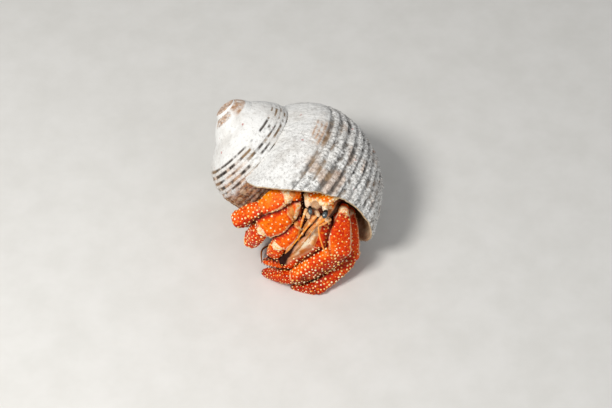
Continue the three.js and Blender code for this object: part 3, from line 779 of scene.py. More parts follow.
def section_point(angle, lift):
    """The section at full size: distance from the axis and distance down it."""
    a = np.radians(angle)
    lobe = 1 + SECTION_BULGE * np.cos(3 * (a - math.radians(BULGE_TURN)))
    across = (SECTION_HALF_WIDTH + lift) * lobe * np.cos(a)
    along = (SECTION_HALF_HEIGHT + lift) * lobe * np.sin(a)
    c = math.cos(math.radians(SECTION_TURN))
    s = math.sin(math.radians(SECTION_TURN))
    return SECTION_RADIUS + across * c - along * s, SECTION_DROP + across * s + along * c


def lip_turn(radius, drop):
    """The turn at which the shell ends, for a place on the section: the lip leans, curls and is ragged."""
    c = math.cos(math.radians(SECTION_TURN))
    s = math.sin(math.radians(SECTION_TURN))
    r = radius - SECTION_RADIUS
    d = drop - SECTION_DROP
    a = np.arctan2((d * c - r * s) / SECTION_HALF_HEIGHT, (r * c + d * s) / SECTION_HALF_WIDTH)
    ragged = 0.5 * layered_noise(unrolled(np.degrees(a), a * 0), 6.0, 17)
    return LIP_MIDDLE - LIP_LEAN * np.sin(a) - LIP_CURL * np.cos(2 * a) + ragged


def turns_to_lip(start, lip, step, last_rows):
    """Rows of turns: even steps to LIP_SWEEP_START, and from there fanned out to the slanting lip."""
    even = np.arange(start, LIP_SWEEP_START, step)[:, None] * np.ones_like(lip)
    fan = LIP_SWEEP_START + (lip - LIP_SWEEP_START) * np.linspace(0, 1, last_rows)[:, None]
    return np.concatenate([even, fan])


def groove_number(angle):
    """The number of the spiral groove that is nearest to an angle."""
    return np.round((angle - GROOVE_PHASE) / GROOVE_SPACING)


def groove_mask(angle, turn):
    """1 along the middle of each spiral groove. Every groove has its own width, which wanders."""
    number = groove_number(angle)
    off = np.abs((angle - GROOVE_PHASE) / GROOVE_SPACING - number)
    wander = noise(unrolled(turn * 0.4, number * 17), 7.0, 13)
    width = 0.17 + 0.08 * wander
    line = smoothstep(width + 0.14, width - 0.06, off)
    return line * smoothstep(SMOOTH_UNTIL - 2, SMOOTH_UNTIL + 3, angle)


def body_whorl(turn):
    """1 on the last whorl and 0 on those before it."""
    return smoothstep(-190, -120, turn)


def outer_relief(angle, turn):
    """How far the worn surface stands out, in millimetres at full size."""
    spot = unrolled(turn * 0.55, angle * 0.45)
    groove = groove_mask(angle, turn)
    body = body_whorl(turn)
    ribbed = smoothstep(SMOOTH_UNTIL - 2, SMOOTH_UNTIL + 10, angle)
    wobble = noise(spot, 5.0, 11)
    beads = np.cos(2 * np.pi * (turn + 2.0 * wobble) / BEAD_SPACING + 1.3 * groove_number(angle))
    lumps = layered_noise(spot, 2.2, 21)
    scales = ribbed * body * (1 - 0.8 * groove) * (0.26 * np.maximum(beads, -0.4) + 0.3 * lumps)
    growth = 0.09 * noise(unrolled(turn * 0.9, angle * 0.04), 1.2, 31)
    worn = 0.16 * layered_noise(spot, 9.0, 41) + 0.09 * layered_noise(spot, 1.6, 51)
    pits = -0.16 * smoothstep(0.45, 0.8, noise(spot, 0.9, 57))
    shoulder = 0.35 * near(angle, -62, 9) * body
    underside = smoothstep(20, 32, angle) * smoothstep(-200, -240, turn)
    knobs = 0.3 * underside * layered_noise(spot, 2.4, 59)
    depth = groove * (0.5 + 0.12 * body) * (1 - 0.6 * underside)
    return scales + growth + worn + pits + shoulder + knobs - depth


def worn_flat(points):
    """Rubs the tip off: nothing stands nearer to the start of the spiral than a shallow dome."""
    from_axis = np.hypot(points[..., 0], points[..., 1])
    cap = WORN_TIP + 0.05 * from_axis + 0.12 * noise(points, 1.1, 61)
    # Each row lies a hair lower than the one before it, so that flattened rows never coincide.
    lower = 0.02 * np.arange(len(points))[:, None] / len(points)
    rubbed = points.copy()
    rubbed[..., 2] = np.maximum(points[..., 2], cap + lower)
    return rubbed


def smoothed_spire(points):
    """Wears the whorls near the tip: lower bulges and shallower seams.

    A place is measured along the cone of the seams and out from it. Near the tip, the distance out
    is brought most of the way to a steady share of the distance along.
    """
    radius = np.hypot(points[..., 0], points[..., 1])
    drop = points[..., 2]
    c = math.cos(math.radians(SEAM_CONE))
    s = math.sin(math.radians(SEAM_CONE))
    along = radius * s + drop * c
    out = radius * c - drop * s
    worn = smoothstep(28, 17, along) * smoothstep(-0.35, -0.1, out / along)
    out = out + worn * (0.085 * along - 0.7 * out)
    smooth = points.copy()
    smooth[..., :2] *= ((along * s + out * c) / np.maximum(radius, 0.01))[..., None]
    smooth[..., 2] = along * c - out * s
    return smooth


def shell_masks(angle, turn):
    """Where the outer surface is dirty, grimy, tan or brown. The brown underside is partly its own colour
    and partly painted shade.
    """
    spot = unrolled(turn * 0.5, angle * 0.5)
    patchy = layered_noise(spot, 7.0, 71)
    speckled = layered_noise(spot, 1.5, 75)
    dashes = layered_noise(unrolled(turn * 0.6, groove_number(angle) * 9), 5.0, 73, 2)
    penultimate = band(turn, -440, -415, -190, -150)
    body = body_whorl(turn)
    groove = groove_mask(angle, turn)
    spire_dirt = penultimate * smoothstep(-0.5, 0.25, dashes)
    body_dirt = 0.85 * body * smoothstep(-0.8, 0.7, speckled + patchy)
    ribs = body * smoothstep(SMOOTH_UNTIL - 12, SMOOTH_UNTIL + 12, angle)
    beside_lip = body * smoothstep(-70, -20, turn) * smoothstep(-70, -40, angle)
    tip = smoothstep(-715, -735, turn) * smoothstep(-5, -14, angle)
    beside_tip = band(turn, -725, -700, -655, -630) * smoothstep(-22, -34, angle)
    below = smoothstep(-30, 0, angle)
    grime = np.maximum.reduce([ribs, 0.45 * beside_lip, 0.35 * penultimate * below, beside_tip])
    low_left = band(turn, -345, -310, -270, -230) * smoothstep(-24, 6, angle)
    striped = band(turn, -54, -47, -31, -25) * band(angle, -30, -26, -14, -10)
    stripes = smoothstep(-0.3, 0.5, np.sin(2 * np.pi * angle / STRIPE_SPACING))
    tan = np.maximum.reduce([
        tip * (0.8 + 0.3 * patchy),
        beside_tip * smoothstep(-0.5, 0.1, speckled),
        low_left * (0.25 + 0.75 * groove) * smoothstep(-0.7, 0.4, patchy + 0.3),
        striped * (0.3 + 0.6 * stripes) * smoothstep(-0.9, 0.2, speckled),
        ribs * 0.55 * smoothstep(0.25, 0.9, patchy),
    ])
    # The brown underside: its own brown, darkened in part as painted shade.
    underside = smoothstep(20, 34, angle + 5 * speckled) * band(turn, -350, -325, -245, -215)
    return {
        "groove": np.clip(groove * (spire_dirt + body_dirt), 0, 1),
        "grime": np.clip(grime, 0, 1),
        "tan": np.clip(tan, 0, 1),
        "brown": underside * (0.8 + 0.2 * patchy),
    }


def outer_sheet():
    """The outer surface. The section's wall runs on to the axis by a short top and by the base."""
    angle = np.linspace(SECTION_START, SECTION_END, OUTER_COLUMNS)
    radius, drop = section_point(angle, 0.0)
    top = AXIS_CLEARANCE + (radius[0] - AXIS_CLEARANCE) * np.linspace(0, 1, 5)[:-1]
    base = AXIS_CLEARANCE + (radius[-1] - AXIS_CLEARANCE) * np.linspace(1, 0, 11)[:-1]
    ends = (len(top), len(base))
    all_radii = np.concatenate([top, radius, base])
    all_drops = np.pad(drop, ends, mode="edge")
    lip = lip_turn(all_radii, all_drops)
    turns = turns_to_lip(FIRST_TURN, lip, OUTER_STEP, OUTER_LIP_ROWS)
    angles = np.broadcast_to(np.pad(angle, ends, mode="edge"), turns.shape)
    radii = np.tile(all_radii, (len(turns), 1))
    drops = np.tile(all_drops, (len(turns), 1))
    wall = slice(len(top), len(top) + len(radius))
    relief = outer_relief(angles[:, wall], turns[:, wall])
    relief = relief * smoothstep(SECTION_START, SECTION_START + 6, angles[:, wall])
    relief = relief * smoothstep(SECTION_END, SECTION_END - 8, angles[:, wall])
    radii[:, wall], drops[:, wall] = section_point(angles[:, wall], relief)
    points = smoothed_spire(worn_flat(wind(radii, drops, turns)))
    return patch(out_of_shell_frame(points), masks=shell_masks(angles, turns))


def wall_at(turn, lip):
    """Wall thickness, thinning towards the lip."""
    return LIP_WALL + (WALL - LIP_WALL) * smoothstep(0, 22, lip - turn)


def inner_sheet():
    """The wall of the living space, from a place deep in the shell to the lip."""
    angle = np.linspace(SECTION_START, SECTION_START + 360, INNER_COLUMNS)
    radius, drop = section_point(angle, -LIP_WALL)
    lip = lip_turn(radius, drop)
    turns = turns_to_lip(LIVING_SPACE_START, lip, INNER_STEP, INNER_LIP_ROWS)
    angles = np.broadcast_to(angle, turns.shape)
    lift = 0.12 * layered_noise(unrolled(turns * 0.5, angles * 0.5), 8.0, 81) - wall_at(turns, lip)
    inside_radius, inside_drop = section_point(angles, lift)
    points = wind(np.maximum(inside_radius, COLUMELLA_RADIUS), inside_drop, turns)
    # Going in, the wall turns browner, and darker as painted shade.
    masks = {"inside": smoothstep(4, 40, lip - turns)}
    return patch(out_of_shell_frame(points), masks=masks, material=INSIDE_NUMBER)


def lip_band():
    """The rounded edge between the outer and the inner surface of the wall."""
    angle = np.linspace(SECTION_START, SECTION_END, 240)
    rows = []
    for k in np.linspace(0, 1, 6):
        radius, drop = section_point(angle, -LIP_WALL * k)
        turn = lip_turn(radius, drop) + 0.55 * math.sin(math.pi * k)
        rows.append(wind(radius, drop, turn))
    return patch(out_of_shell_frame(np.stack(rows)), material=INSIDE_NUMBER)


def pillar():
    """The columella, turned round the axis from its profile."""
    profile = np.array(COLUMELLA)
    s = np.linspace(0, 1, 60)
    radius = through(profile[:, 0], s)
    drop = through(profile[:, 1], s)
    around = np.radians(np.linspace(0, 360, 33)[:-1])
    ring = np.stack([np.cos(around), np.sin(around)], axis=-1)
    points = np.empty((len(s), len(around), 3))
    points[..., :2] = radius[:, None, None] * ring
    points[..., 2] = drop[:, None]
    return capped(out_of_shell_frame(points), masks={"inside": 0.6}, material=INSIDE_NUMBER)


def build_shell():
    patches = [outer_sheet(), inner_sheet(), lip_band(), pillar()]
    make_piece("shell_surface", patches, [CHALK, INSIDE], ["shell"])


# ---- lofts


class Loft:
    """A surface with an oval section along a smooth line. s runs along it and turn round it.

    "reach" is how far it goes past the ends of the line, "square" is 2 for an oval section and more
    for a boxier one, and "blunt" is the greater the more suddenly the ends close. "relief" gives how
    far the surface stands out at a place and a turn.
    """

    def __init__(self, points, widths, depths, across, reach, square, blunt, relief=None):
        dense = through(points, np.linspace(0, 1, 400))
        steps = np.linalg.norm(np.diff(dense, axis=0), axis=1)
        self.run = np.concatenate([[0], np.cumsum(steps)])
        self.line = dense
        self.length = self.run[-1]
        self.widths = widths
        self.depths = depths
        self.across = np.array(across, float)
        self.reach = reach
        self.square = square
        self.blunt = blunt
        self.relief = relief

    def point_at(self, distance):
        return np.stack([np.interp(distance, self.run, self.line[:, i]) for i in range(3)], axis=-1)

    def frame_at(self, distance):
        """Points of the line, which runs straight on past its ends, and its three directions there."""
        inside = np.clip(distance, 0, self.length)
        step = 0.01 * self.length
        forward = unit(self.point_at(inside + step) - self.point_at(inside - step))
        centre = self.point_at(inside) + forward * (distance - inside)[..., None]
        side = unit(self.across - forward * (forward @ self.across)[..., None])
        return centre, forward, side, np.cross(side, forward)

    def at(self, s, turn):
        """Points of the surface."""
        s = np.asarray(s, float)
        turn = np.asarray(turn, float)
        distance = -self.reach + s * (self.length + 2 * self.reach)
        centre, forward, side, up = self.frame_at(distance)
        place = np.clip(distance / self.length, 0, 1)
        close = np.maximum(1 - np.abs(2 * s - 1) ** self.blunt, 0) ** 0.45
        power = 2 / self.square
        c = np.sign(np.cos(turn)) * np.abs(np.cos(turn)) ** power
        d = np.sign(np.sin(turn)) * np.abs(np.sin(turn)) ** power
        extra = self.relief(place, turn) if self.relief else 0.0
        half_width = (through(self.widths, place) / 2 + extra) * close
        half_depth = (through(self.depths, place) / 2 + extra) * close
        return centre + side * (half_width * c)[..., None] + up * (half_depth * d)[..., None]

    def normal(self, s, turn):
        """Directions straight out of the surface."""
        along = self.at(np.clip(s + 0.004, 0, 1), turn) - self.at(np.clip(s - 0.004, 0, 1), turn)
        around = self.at(s, turn + 0.02) - self.at(s, turn - 0.02)
        return unit(np.cross(along, around))


def loft_patch(loft, rows, columns, masks=None, lumps=0.0, seed=0):
    """A loft's closed surface, finer at both ends, with lumps of a height in millimetres.

    masks(s, turn, points) gives the masks of its points.
    """
    along = 0.5 - 0.5 * np.cos(np.linspace(0.02, 0.98, rows) * np.pi)
    around = np.linspace(0, 2 * np.pi, columns + 1)[:-1]
    s, turn = np.meshgrid(along, around, indexing="ij")
    points = loft.at(s, turn)
    if lumps:
        points = points + loft.normal(s, turn) * (lumps * layered_noise(points, 2.2, seed))[..., None]
    return capped(points, masks=masks(s, turn, points) if masks else None)


PEARL_RINGS = ((1.15, -0.3), (0.95, 0.35), (0.55, 0.75))
PEARL_HEIGHT = 0.62  # as a share of the radius
SPINE_RINGS = ((1.1, -0.3), (0.75, 0.35), (0.35, 0.75))
SPINE_RADIUS = 0.2
SPINE_HEIGHT = 0.42


def dome(centre, normal, radius, height, rings, sides):
    """A small bump on a surface. Each ring has a share of the radius and a share of the height."""
    first = unit(np.cross(normal, (0.3, 0.5, 0.8)))
    second = np.cross(normal, first)
    around = np.linspace(0, 2 * np.pi, sides + 1)[:-1]
    ring = np.cos(around)[:, None] * first + np.sin(around)[:, None] * second
    rows = [centre + radius * wide * ring + normal * height * high for wide, high in rings]
    points = np.concatenate([np.concatenate(rows), [centre + normal * height]])
    index = np.arange(len(rings) * sides).reshape(len(rings), sides)
    after = np.roll(index, -1, axis=1)
    quads = np.stack([index[:-1], after[:-1], after[1:], index[1:]], axis=-1).reshape(-1, 4)
    top = np.full(sides, len(points) - 1)
    tips = np.stack([index[-1], after[-1], top, np.full(sides, -1)], axis=-1)
    faces = np.concatenate([quads, tips])
    return {"points": points, "faces": faces, "masks": {}, "material": np.zeros(len(faces), int)}


def scatter(loft, spacing, seed, wanted=None):
    """Places on a loft at least spacing apart. wanted(s, turn) gives how likely each place is."""
    dice = np.random.default_rng(seed)
    girth = np.pi * 0.5 * (np.mean(loft.widths) + np.mean(loft.depths))
    # Nine tries for each place that there is room for.
    count = int(9 * girth * loft.length / spacing**2)
    s = dice.uniform(0.06, 0.94, count)
    turn = dice.uniform(0, 2 * np.pi, count)
    points = loft.at(s, turn)
    likely = wanted(s, turn) if wanted else np.ones(count)
    kept = []
    spots = np.empty((0, 3))
    for i in np.flatnonzero(dice.uniform(0, 1, count) < likely):
        if len(spots) == 0 or np.min(np.sum((spots - points[i]) ** 2, axis=1)) > spacing**2:
            kept.append(i)
            spots = points[kept]
    return s[kept], turn[kept]


def pearls_on(loft, spacing, size, seed, wanted=None):
    """Round bumps scattered over a loft, with sizes that vary."""
    s, turn = scatter(loft, spacing, seed, wanted)
    dice = np.random.default_rng(seed + 1)
    centres = loft.at(s, turn)
    normals = loft.normal(s, turn)
    radii = size * dice.uniform(0.5, 1.2, len(s))
    return [dome(c, n, r, PEARL_HEIGHT * r, PEARL_RINGS, 7) for c, n, r in zip(centres, normals, radii)]


# ---- limbs


def limb_relief(place, turn):
    """A raised rim where a piece of armour ends, and a slight waist behind it."""
    rim = 0.22 * near(place, 0.94, 0.035)
    waist = -0.16 * near(place, 0.84, 0.06)
    neck = -0.4 * smoothstep(0.14, 0.0, place)
    return rim + waist + neck


def tip_relief(place, turn):
    """The last piece of a limb only narrows at its root."""
    return -0.3 * smoothstep(0.16, 0.0, place)


def gap_to(loft, points):
    """About how far points lie outside the surface of a loft."""
    s = np.linspace(0.0, 1.0, 25)
    centre, forward, side, up = loft.frame_at(s * loft.length)
    half_width = through(loft.widths, s) / 2
    half_depth = through(loft.depths, s) / 2
    away = points[..., None, :] - centre
    across = (away * side).sum(-1) / half_width
    high = (away * up).sum(-1) / half_depth
    along = (away * forward).sum(-1) / half_depth
    outside = np.sqrt(across**2 + high**2 + along**2) - 1
    return (outside * half_depth).min(-1)


def gap_to_other_limbs(limb, points):
    """About how far points lie from the nearest other limb."""
    others = [loft for name in LIMBS if name != limb for loft in LIMB_LOFTS[name]]
    return np.minimum.reduce([gap_to(loft, points) for loft in others])


def cream_margins(cream, s, across, patchy):
    """How cream a plate is, and how far its places lie within the cream of its root and tip."""
    root, tip, low, high = cream
    margin = np.minimum(s - root, 1 - s - tip) + 0.05 * patchy
    amount = smoothstep(0.015, -0.015, margin)
    ragged = across + 0.04 * patchy
    for side, inset in ((-1, low), (1, high)):
        if inset > 0:
            amount = np.maximum(amount, near(side * ragged, 1 - inset, CREAM_LINE))
    return amount, margin


def merus_shade(limb, x):
    """How dark the first piece of a limb is where it goes into the shell, and its cream edge before that."""
    if "left" in limb:
        return 0.97 * smoothstep(SHADE_END, SHADE_END - 0.8, x), 0.0
    edge = 0.0 if limb == "leg3_right" else near(x, SHADE_START - 0.45, 0.25)
    return 0.97 * smoothstep(SHADE_START - 0.2, SHADE_START + 0.2, x), edge


def inner_face(piece, s, turn):
    """The big claw's smooth face: its beige, the tan streaks and fold on it, and a painted shadow along its
    edge.
    """
    across = np.cos(turn)
    inner = np.sin(turn) > INNER_FACE
    streaky = layered_noise(np.stack([4 * s, 8 * across, 3 * np.sin(turn)], axis=-1), 1.6, 93)
    palm = piece == "palm"
    low_edge = 0.08 + 0.2 * smoothstep(0.3, 0.0, s) if palm else 0.25
    high_edge = 1.15 - 1.27 * s if palm else 1.2
    into_face = across + 0.05 * streaky - low_edge
    from_edge = high_edge - across - 0.06 * streaky
    beige = inner * smoothstep(-0.03, 0.03, into_face)
    fold = palm * near(into_face, 0.18, 0.05) * near(s, 0.22, 0.1)
    beside_edge = smoothstep(0.3, 0.08, from_edge)
    tan = np.maximum.reduce([0.8 * beside_edge, 0.9 * fold, smoothstep(-0.12, 0.4, streaky)])
    # The last mask is painted shadow along the face's upper edge, where a gap lies beside it.
    return beige, beige * tan, inner * smoothstep(0.06, -0.03, from_edge)


def armour_masks(limb, i):
    """Where a piece of armour is red, cream, beige, streaked or dark, with painted shade near the other
    limbs, at the roots of the first pieces and along an edge of the big claw's face.
    """
    spec = LIMBS[limb]
    piece = spec["pieces"][i]

    def masks(s, turn, points):
        patchy = layered_noise(points, 2.4, 91)
        across = np.cos(turn)
        # Painted shade between the limbs: close to another limb the cream is left out, the tone is raised
        # and the dark mask is laid on.
        gap = gap_to_other_limbs(limb, points) + 0.15 * patchy
        cream, margin = cream_margins(spec["cream"][i], s, across, patchy)
        cream = cream * smoothstep(0.3, 0.9, gap) * smoothstep(0.985, 0.955, s)
        tone = through(spec["tones"][i], (across + 1) / 2) + 0.2 * patchy
        tone = tone + 0.4 * near(margin, 0.035, 0.018) + 0.8 * smoothstep(1.2, 0.3, gap)
        beige = np.zeros_like(s)
        streak = np.zeros_like(s)
        dark = np.zeros_like(s)
        if piece == "merus":
            dark, edge = merus_shade(limb, points[..., 0])
            cream = np.maximum(cream, edge)
        if limb == "cheliped_left" and piece in ("carpus", "palm"):
            beige, streak, dark = inner_face(piece, s, turn)
        if piece in TIPS:
            dark = smoothstep(0.95, 0.99, s)
        if f"{limb}_{piece}" in DOTTED_PIECES:
            dots = smoothstep(0.05, 0.25, noise(points, 0.55, 94)) * smoothstep(-0.1, 0.35, across)
            dark = np.maximum(dark, 0.9 * dots)
        # Painted shade in the creases where this limb lies close to another one.
        dark = np.maximum(dark, 0.92 * smoothstep(0.4, 0.0, gap))
        return {"tone": tone / DARKEST_TONE, "cream": cream, "beige": beige, "streak": streak, "dark": dark}

    return masks


def limb_loft(spec, i):
    """The surface of one piece of a limb. The first piece starts narrow, inside the body."""
    widths = spec["widths"][i]
    depths = spec["depths"][i]
    if i == 0:
        widths = (0.6 * widths[0], *widths[1:])
    last = i == len(spec["pieces"]) - 1
    reach = spec["reach"][i] * min(widths[0], depths[0])
    start, end = np.array(spec["joints"][i : i + 2], float)
    middle = (start + end) / 2 + spec["arch"][i] * unit(spec["across"])
    relief = tip_relief if last else limb_relief
    line = [start, middle, end]
    return Loft(line, widths, depths, spec["across"], reach, square=2.8, blunt=10.0, relief=relief)


LIMB_LOFTS = {limb: [limb_loft(spec, i) for i in range(len(spec["pieces"]))] for limb, spec in LIMBS.items()}


def row_of_spines(loft, turn):
    """Small dark points in a slightly wavy line along the tip of a limb."""
    s = np.linspace(0.12, 0.9, 9)
    turns = turn + 0.12 * np.sin(5 * s + turn)
    centres = loft.at(s, turns)
    normals = loft.normal(s, turns)
    return [dome(c, n, SPINE_RADIUS, SPINE_HEIGHT, SPINE_RINGS, 6) for c, n in zip(centres, normals)]


def pearls_wanted(limb, i):
    """How likely a pearl is at a place: none on the big claw's smooth inner face or near the body."""
    spec = LIMBS[limb]
    piece = spec["pieces"][i]

    def wanted(s, turn):
        likely = np.full(s.shape, spec["pearls"][i])
        if limb == "cheliped_left" and piece in ("carpus", "palm"):
            inner = np.sin(turn) > INNER_FACE
            likely = likely * (1 - inner * smoothstep(-0.05, 0.1, np.cos(turn)))
        if piece == "merus":
            likely = likely * (s > 0.45)
        gap = gap_to_other_limbs(limb, LIMB_LOFTS[limb][i].at(s, turn))
        return likely * (gap > 0.4)

    return wanted


def build_limb(limb, spec, seed):
    """The armour, pearls, spines and joint skins of a limb."""
    armour = []
    pearls = []
    spines = []
    for i, piece in enumerate(spec["pieces"]):
        loft = LIMB_LOFTS[limb][i]
        wanted = pearls_wanted(limb, i)
        armour.append(loft_patch(loft, 60, 64, armour_masks(limb, i), lumps=0.1, seed=seed + i))
        pearls += pearls_on(loft, PEARL_SPACING[piece], PEARL_SIZE[piece], seed + 10 * i, wanted)
        if piece in TIPS:
            for turn in SPINE_ROWS:
                spines += row_of_spines(loft, turn)
    nodes = [f"{limb}_{piece}" for piece in spec["pieces"]]
    make_piece(f"{limb}_armour", armour, [ARMOUR], nodes)
    make_piece(f"{limb}_pearls", pearls, [PEARL])
    make_piece(f"{limb}_spines", spines, [SPINE])
    build_joints(limb, spec)


def build_joints(limb, spec):
    """Soft skin that shows between two pieces of armour."""
    skins = []
    for i in range(1, len(spec["pieces"])):
        joint = np.array(spec["joints"][i], float)
        before = unit(joint - np.array(spec["joints"][i - 1]))
        after = unit(np.array(spec["joints"][i + 1]) - joint)
        wide = 0.8 * min(spec["widths"][i - 1][-1], spec["widths"][i][0])
        deep = 0.84 * min(spec["depths"][i - 1][-1], spec["depths"][i][0])
        line = [joint - before * 0.8, joint, joint + after * 0.8]
        loft = Loft(line, [wide] * 3, [deep] * 3, spec["across"], reach=0.25 * wide, square=2.1, blunt=4.0)
        skins.append(loft_patch(loft, 18, 28, lumps=0.05, seed=7 + i))
    make_piece(f"{limb}_joints", skins, [SKIN])


# ---- head


def build_eye(side, eye):
    """An eye stalk and the cornea at its end."""
    widths = eye["stalk_widths"]
    depths = eye["stalk_depths"]
    stalk = Loft(eye["stalk"], widths, depths, EYE_ACROSS, reach=0.3, square=2.2, blunt=6.0)

    def stalk_masks(s, turn, points):
        tan = 0.75 if side == "right" else 0.0
        return {"tan": tan * smoothstep(0.1, 0.4, s), "dark": 0.8 * smoothstep(0.93, 0.99, s)}

    patches = [loft_patch(stalk, 36, 36, stalk_masks, lumps=0.06, seed=3)]
    make_piece(f"eyestalk_{side}_surface", patches, [STALK], [f"eyestalk_{side}"])
    wide, deep = eye["cornea_size"]
    cornea = Loft(eye["cornea"], [wide] * 3, [deep] * 3, EYE_ACROSS, reach=0.2, square=2.0, blunt=2.4)

    def cornea_masks(s, turn, points):
        # The pale mask is a painted highlight on the part of the cornea that faces up and forward.
        facing = unit(points - points.mean(axis=(0, 1))) @ unit(CORNEA_HIGHLIGHT_FACING)
        return {"pale": smoothstep(0.45, 0.95, facing)}

    patches = [loft_patch(cornea, 44, 44, cornea_masks)]
    make_piece(f"eye_{side}_surface", patches, [CORNEA], [f"eye_{side}"])


def build_ocular_scales():
    """The two small pointed scales between the eye stalks."""
    widths = (1.1, 1.2, 0.8, 0.3)
    depths = (0.6, 0.6, 0.4, 0.2)
    scales = []
    for line in OCULAR_SCALES:
        loft = Loft(line, widths, depths, EYE_ACROSS, reach=0.1, square=2.2, blunt=6.0)
        scales.append(loft_patch(loft, 24, 24, lumps=0.04, seed=4))
    make_piece("ocular_scales", scales, [STALK])


def build_mouth_lobes():
    """Soft pale lobes round the roots of the feelers."""

    def masks(s, turn, points):
        return {"tan": 0.6 * smoothstep(-0.3, 0.6, layered_noise(points, 0.8, 102))}

    lobes = []
    for line in MOUTH_LOBES:
        loft = Loft(line, (1.4, 1.6, 1.1), (1.2, 1.3, 0.9), EYE_ACROSS, reach=0.15, square=2.1, blunt=5.0)
        lobes.append(loft_patch(loft, 24, 24, masks, lumps=0.08, seed=11))
    make_piece("mouth_lobes", lobes, [STALK])


def shield_relief(place, turn):
    """The curved groove across the top of the shield."""
    top = smoothstep(-0.2, 0.6, -np.sin(turn))
    return -0.3 * near(place, 0.42 + 0.12 * np.cos(turn) ** 2, 0.03) * top


def shield_masks(s, turn, points):
    """The shield: orange, with cream in front and along both sides."""
    patchy = layered_noise(points, 2.4, 95)
    across = np.cos(turn)
    front = smoothstep(0.12, 0.05, s + 0.04 * patchy)
    right = smoothstep(-0.42, -0.6, across + 0.1 * patchy)
    left = smoothstep(0.8, 0.92, across + 0.08 * patchy)
    tone = 0.12 + 0.25 * patchy + 0.25 * smoothstep(0.25, 0.12, s)
    return {"tone": tone / DARKEST_TONE, "cream": np.clip(front + right + left, 0, 1)}


def right_flank_masks(s, turn, points):
    """The soft right side of the carapace: whitish."""
    patchy = layered_noise(points, 1.8, 98)
    return {"tone": 0.3, "cream": 1.0, "beige": 0.6 + 0.4 * patchy, "streak": 0.1}


def left_flank_masks(s, turn, points):
    """The soft left side of the carapace: tan, with painted shade on the side that lies under the claw."""
    patchy = layered_noise(points, 1.8, 98)
    dark = 0.95 * smoothstep(0.6, 0.9, np.cos(turn))
    return {"tone": 0.3, "cream": 0.5, "beige": 0.6 + 0.4 * patchy, "streak": 0.55, "dark": dark}


def rim_masks(s, turn, points):
    """The arched front rim: cream below and on the right, yellow-orange above and on the left."""
    patchy = layered_noise(points, 1.6, 96)
    below = smoothstep(-0.1, -0.5, np.cos(turn) + 0.35 * patchy)
    right = smoothstep(0.22, 0.12, s + 0.05 * patchy)
    return {"tone": 0.15 + 0.25 * patchy, "cream": np.maximum(below, right), "beige": 0.4 * below}


def build_shield():
    """The shield with its soft sides, its raised front rim and its pearls."""
    across = SHIELD["across"]
    shape = {"reach": 0.3, "square": 2.6, "blunt": 9.0, "relief": shield_relief}
    top = Loft(SHIELD["points"], SHIELD["widths"], SHIELD["depths"], across, **shape)
    patches = [loft_patch(top, 60, 60, shield_masks, lumps=0.12, seed=5)]
    for line, masks in ((RIGHT_FLANK, right_flank_masks), (LEFT_FLANK, left_flank_masks)):
        flank = Loft(line, (2.6, 2.8, 2.2), (2.4, 2.6, 2.0), across, reach=0.2, square=2.2, blunt=5.0)
        patches.append(loft_patch(flank, 30, 30, masks, lumps=0.14, seed=6))
    rim = Loft(RIM["points"], RIM["widths"], RIM["depths"], RIM["across"], reach=0.2, square=2.3, blunt=5.0)
    patches.append(loft_patch(rim, 70, 36, rim_masks, lumps=0.1, seed=8))
    make_piece("shield_surface", patches, [ARMOUR], ["shield"])
    pearls = pearls_on(top, SHIELD_PEARL_SPACING, SHIELD_PEARL_SIZE, 300)
    pearls += pearls_on(rim, SHIELD_PEARL_SPACING, SHIELD_PEARL_SIZE, 310)
    make_piece("shield_pearls", pearls, [PEARL])


def knots(joints, place):
    """1 where the articles of a rod meet."""
    return sum(near(place, joint, 0.03) for joint in joints)


def rod_relief(joints):
    """Small swellings where the articles of a feeler or a holding leg meet."""
    return lambda place, turn: 0.08 * knots(joints, place)


def ring_relief(count):
    """The fine rings of a whip."""
    return lambda place, turn: 0.025 * np.cos(2 * np.pi * count * place)


def build_feeler(name, spec):
    """A whip with fine rings, or a rod with a few knots."""
    line, sizes, creams, darks = spec
    whip = "flagellum" in name
    long = name == "antenna_flagellum_right"
    relief = ring_relief(60 if long else 22) if whip else rod_relief(FEELER_JOINTS)
    loft = Loft(line, sizes, sizes, FEELER_ACROSS, reach=0.05, square=2.1, blunt=8.0, relief=relief)

    def masks(s, turn, points):
        pale_knots = 0.0 if whip else 0.7 * knots(FEELER_JOINTS, s)
        grain = 0.12 * layered_noise(points, 1.2, 97)
        cream = creams[0] * (1 - s) ** 2 + creams[1] * s
        dark = darks[0] * (1 - s) + darks[1] * s
        return {"cream": np.clip(cream + pale_knots + grain, 0, 1), "dark": np.clip(dark + grain, 0, 1)}

    patches = [loft_patch(loft, 240 if long else 70, 14 if whip else 24, masks)]
    make_piece(f"{name}_surface", patches, [FEELER], [name])


# ---- body inside the shell


def fold_relief(place, turn):
    """Soft folds across the abdomen."""
    return 0.25 * np.sin(2 * np.pi * 11 * place) * smoothstep(0.25, 0.5, place)


def trunk_masks(s, turn, points):
    """Painted shade on the body, low in the mouth of the shell, laid on in patches."""
    patchy_shade = 0.3 + 0.4 * smoothstep(-0.4, 0.5, layered_noise(points, 1.3, 99))
    low = smoothstep(27.5, 24.5, points[..., 2])
    return {"dark": smoothstep(0.3, 0.15, s) * patchy_shade * low}


def breast_masks(s, turn, points):
    """The breast is painted dark all over, as shade under the body."""
    return {"dark": 0.75 + 0.2 * layered_noise(points, 1.6, 100)}


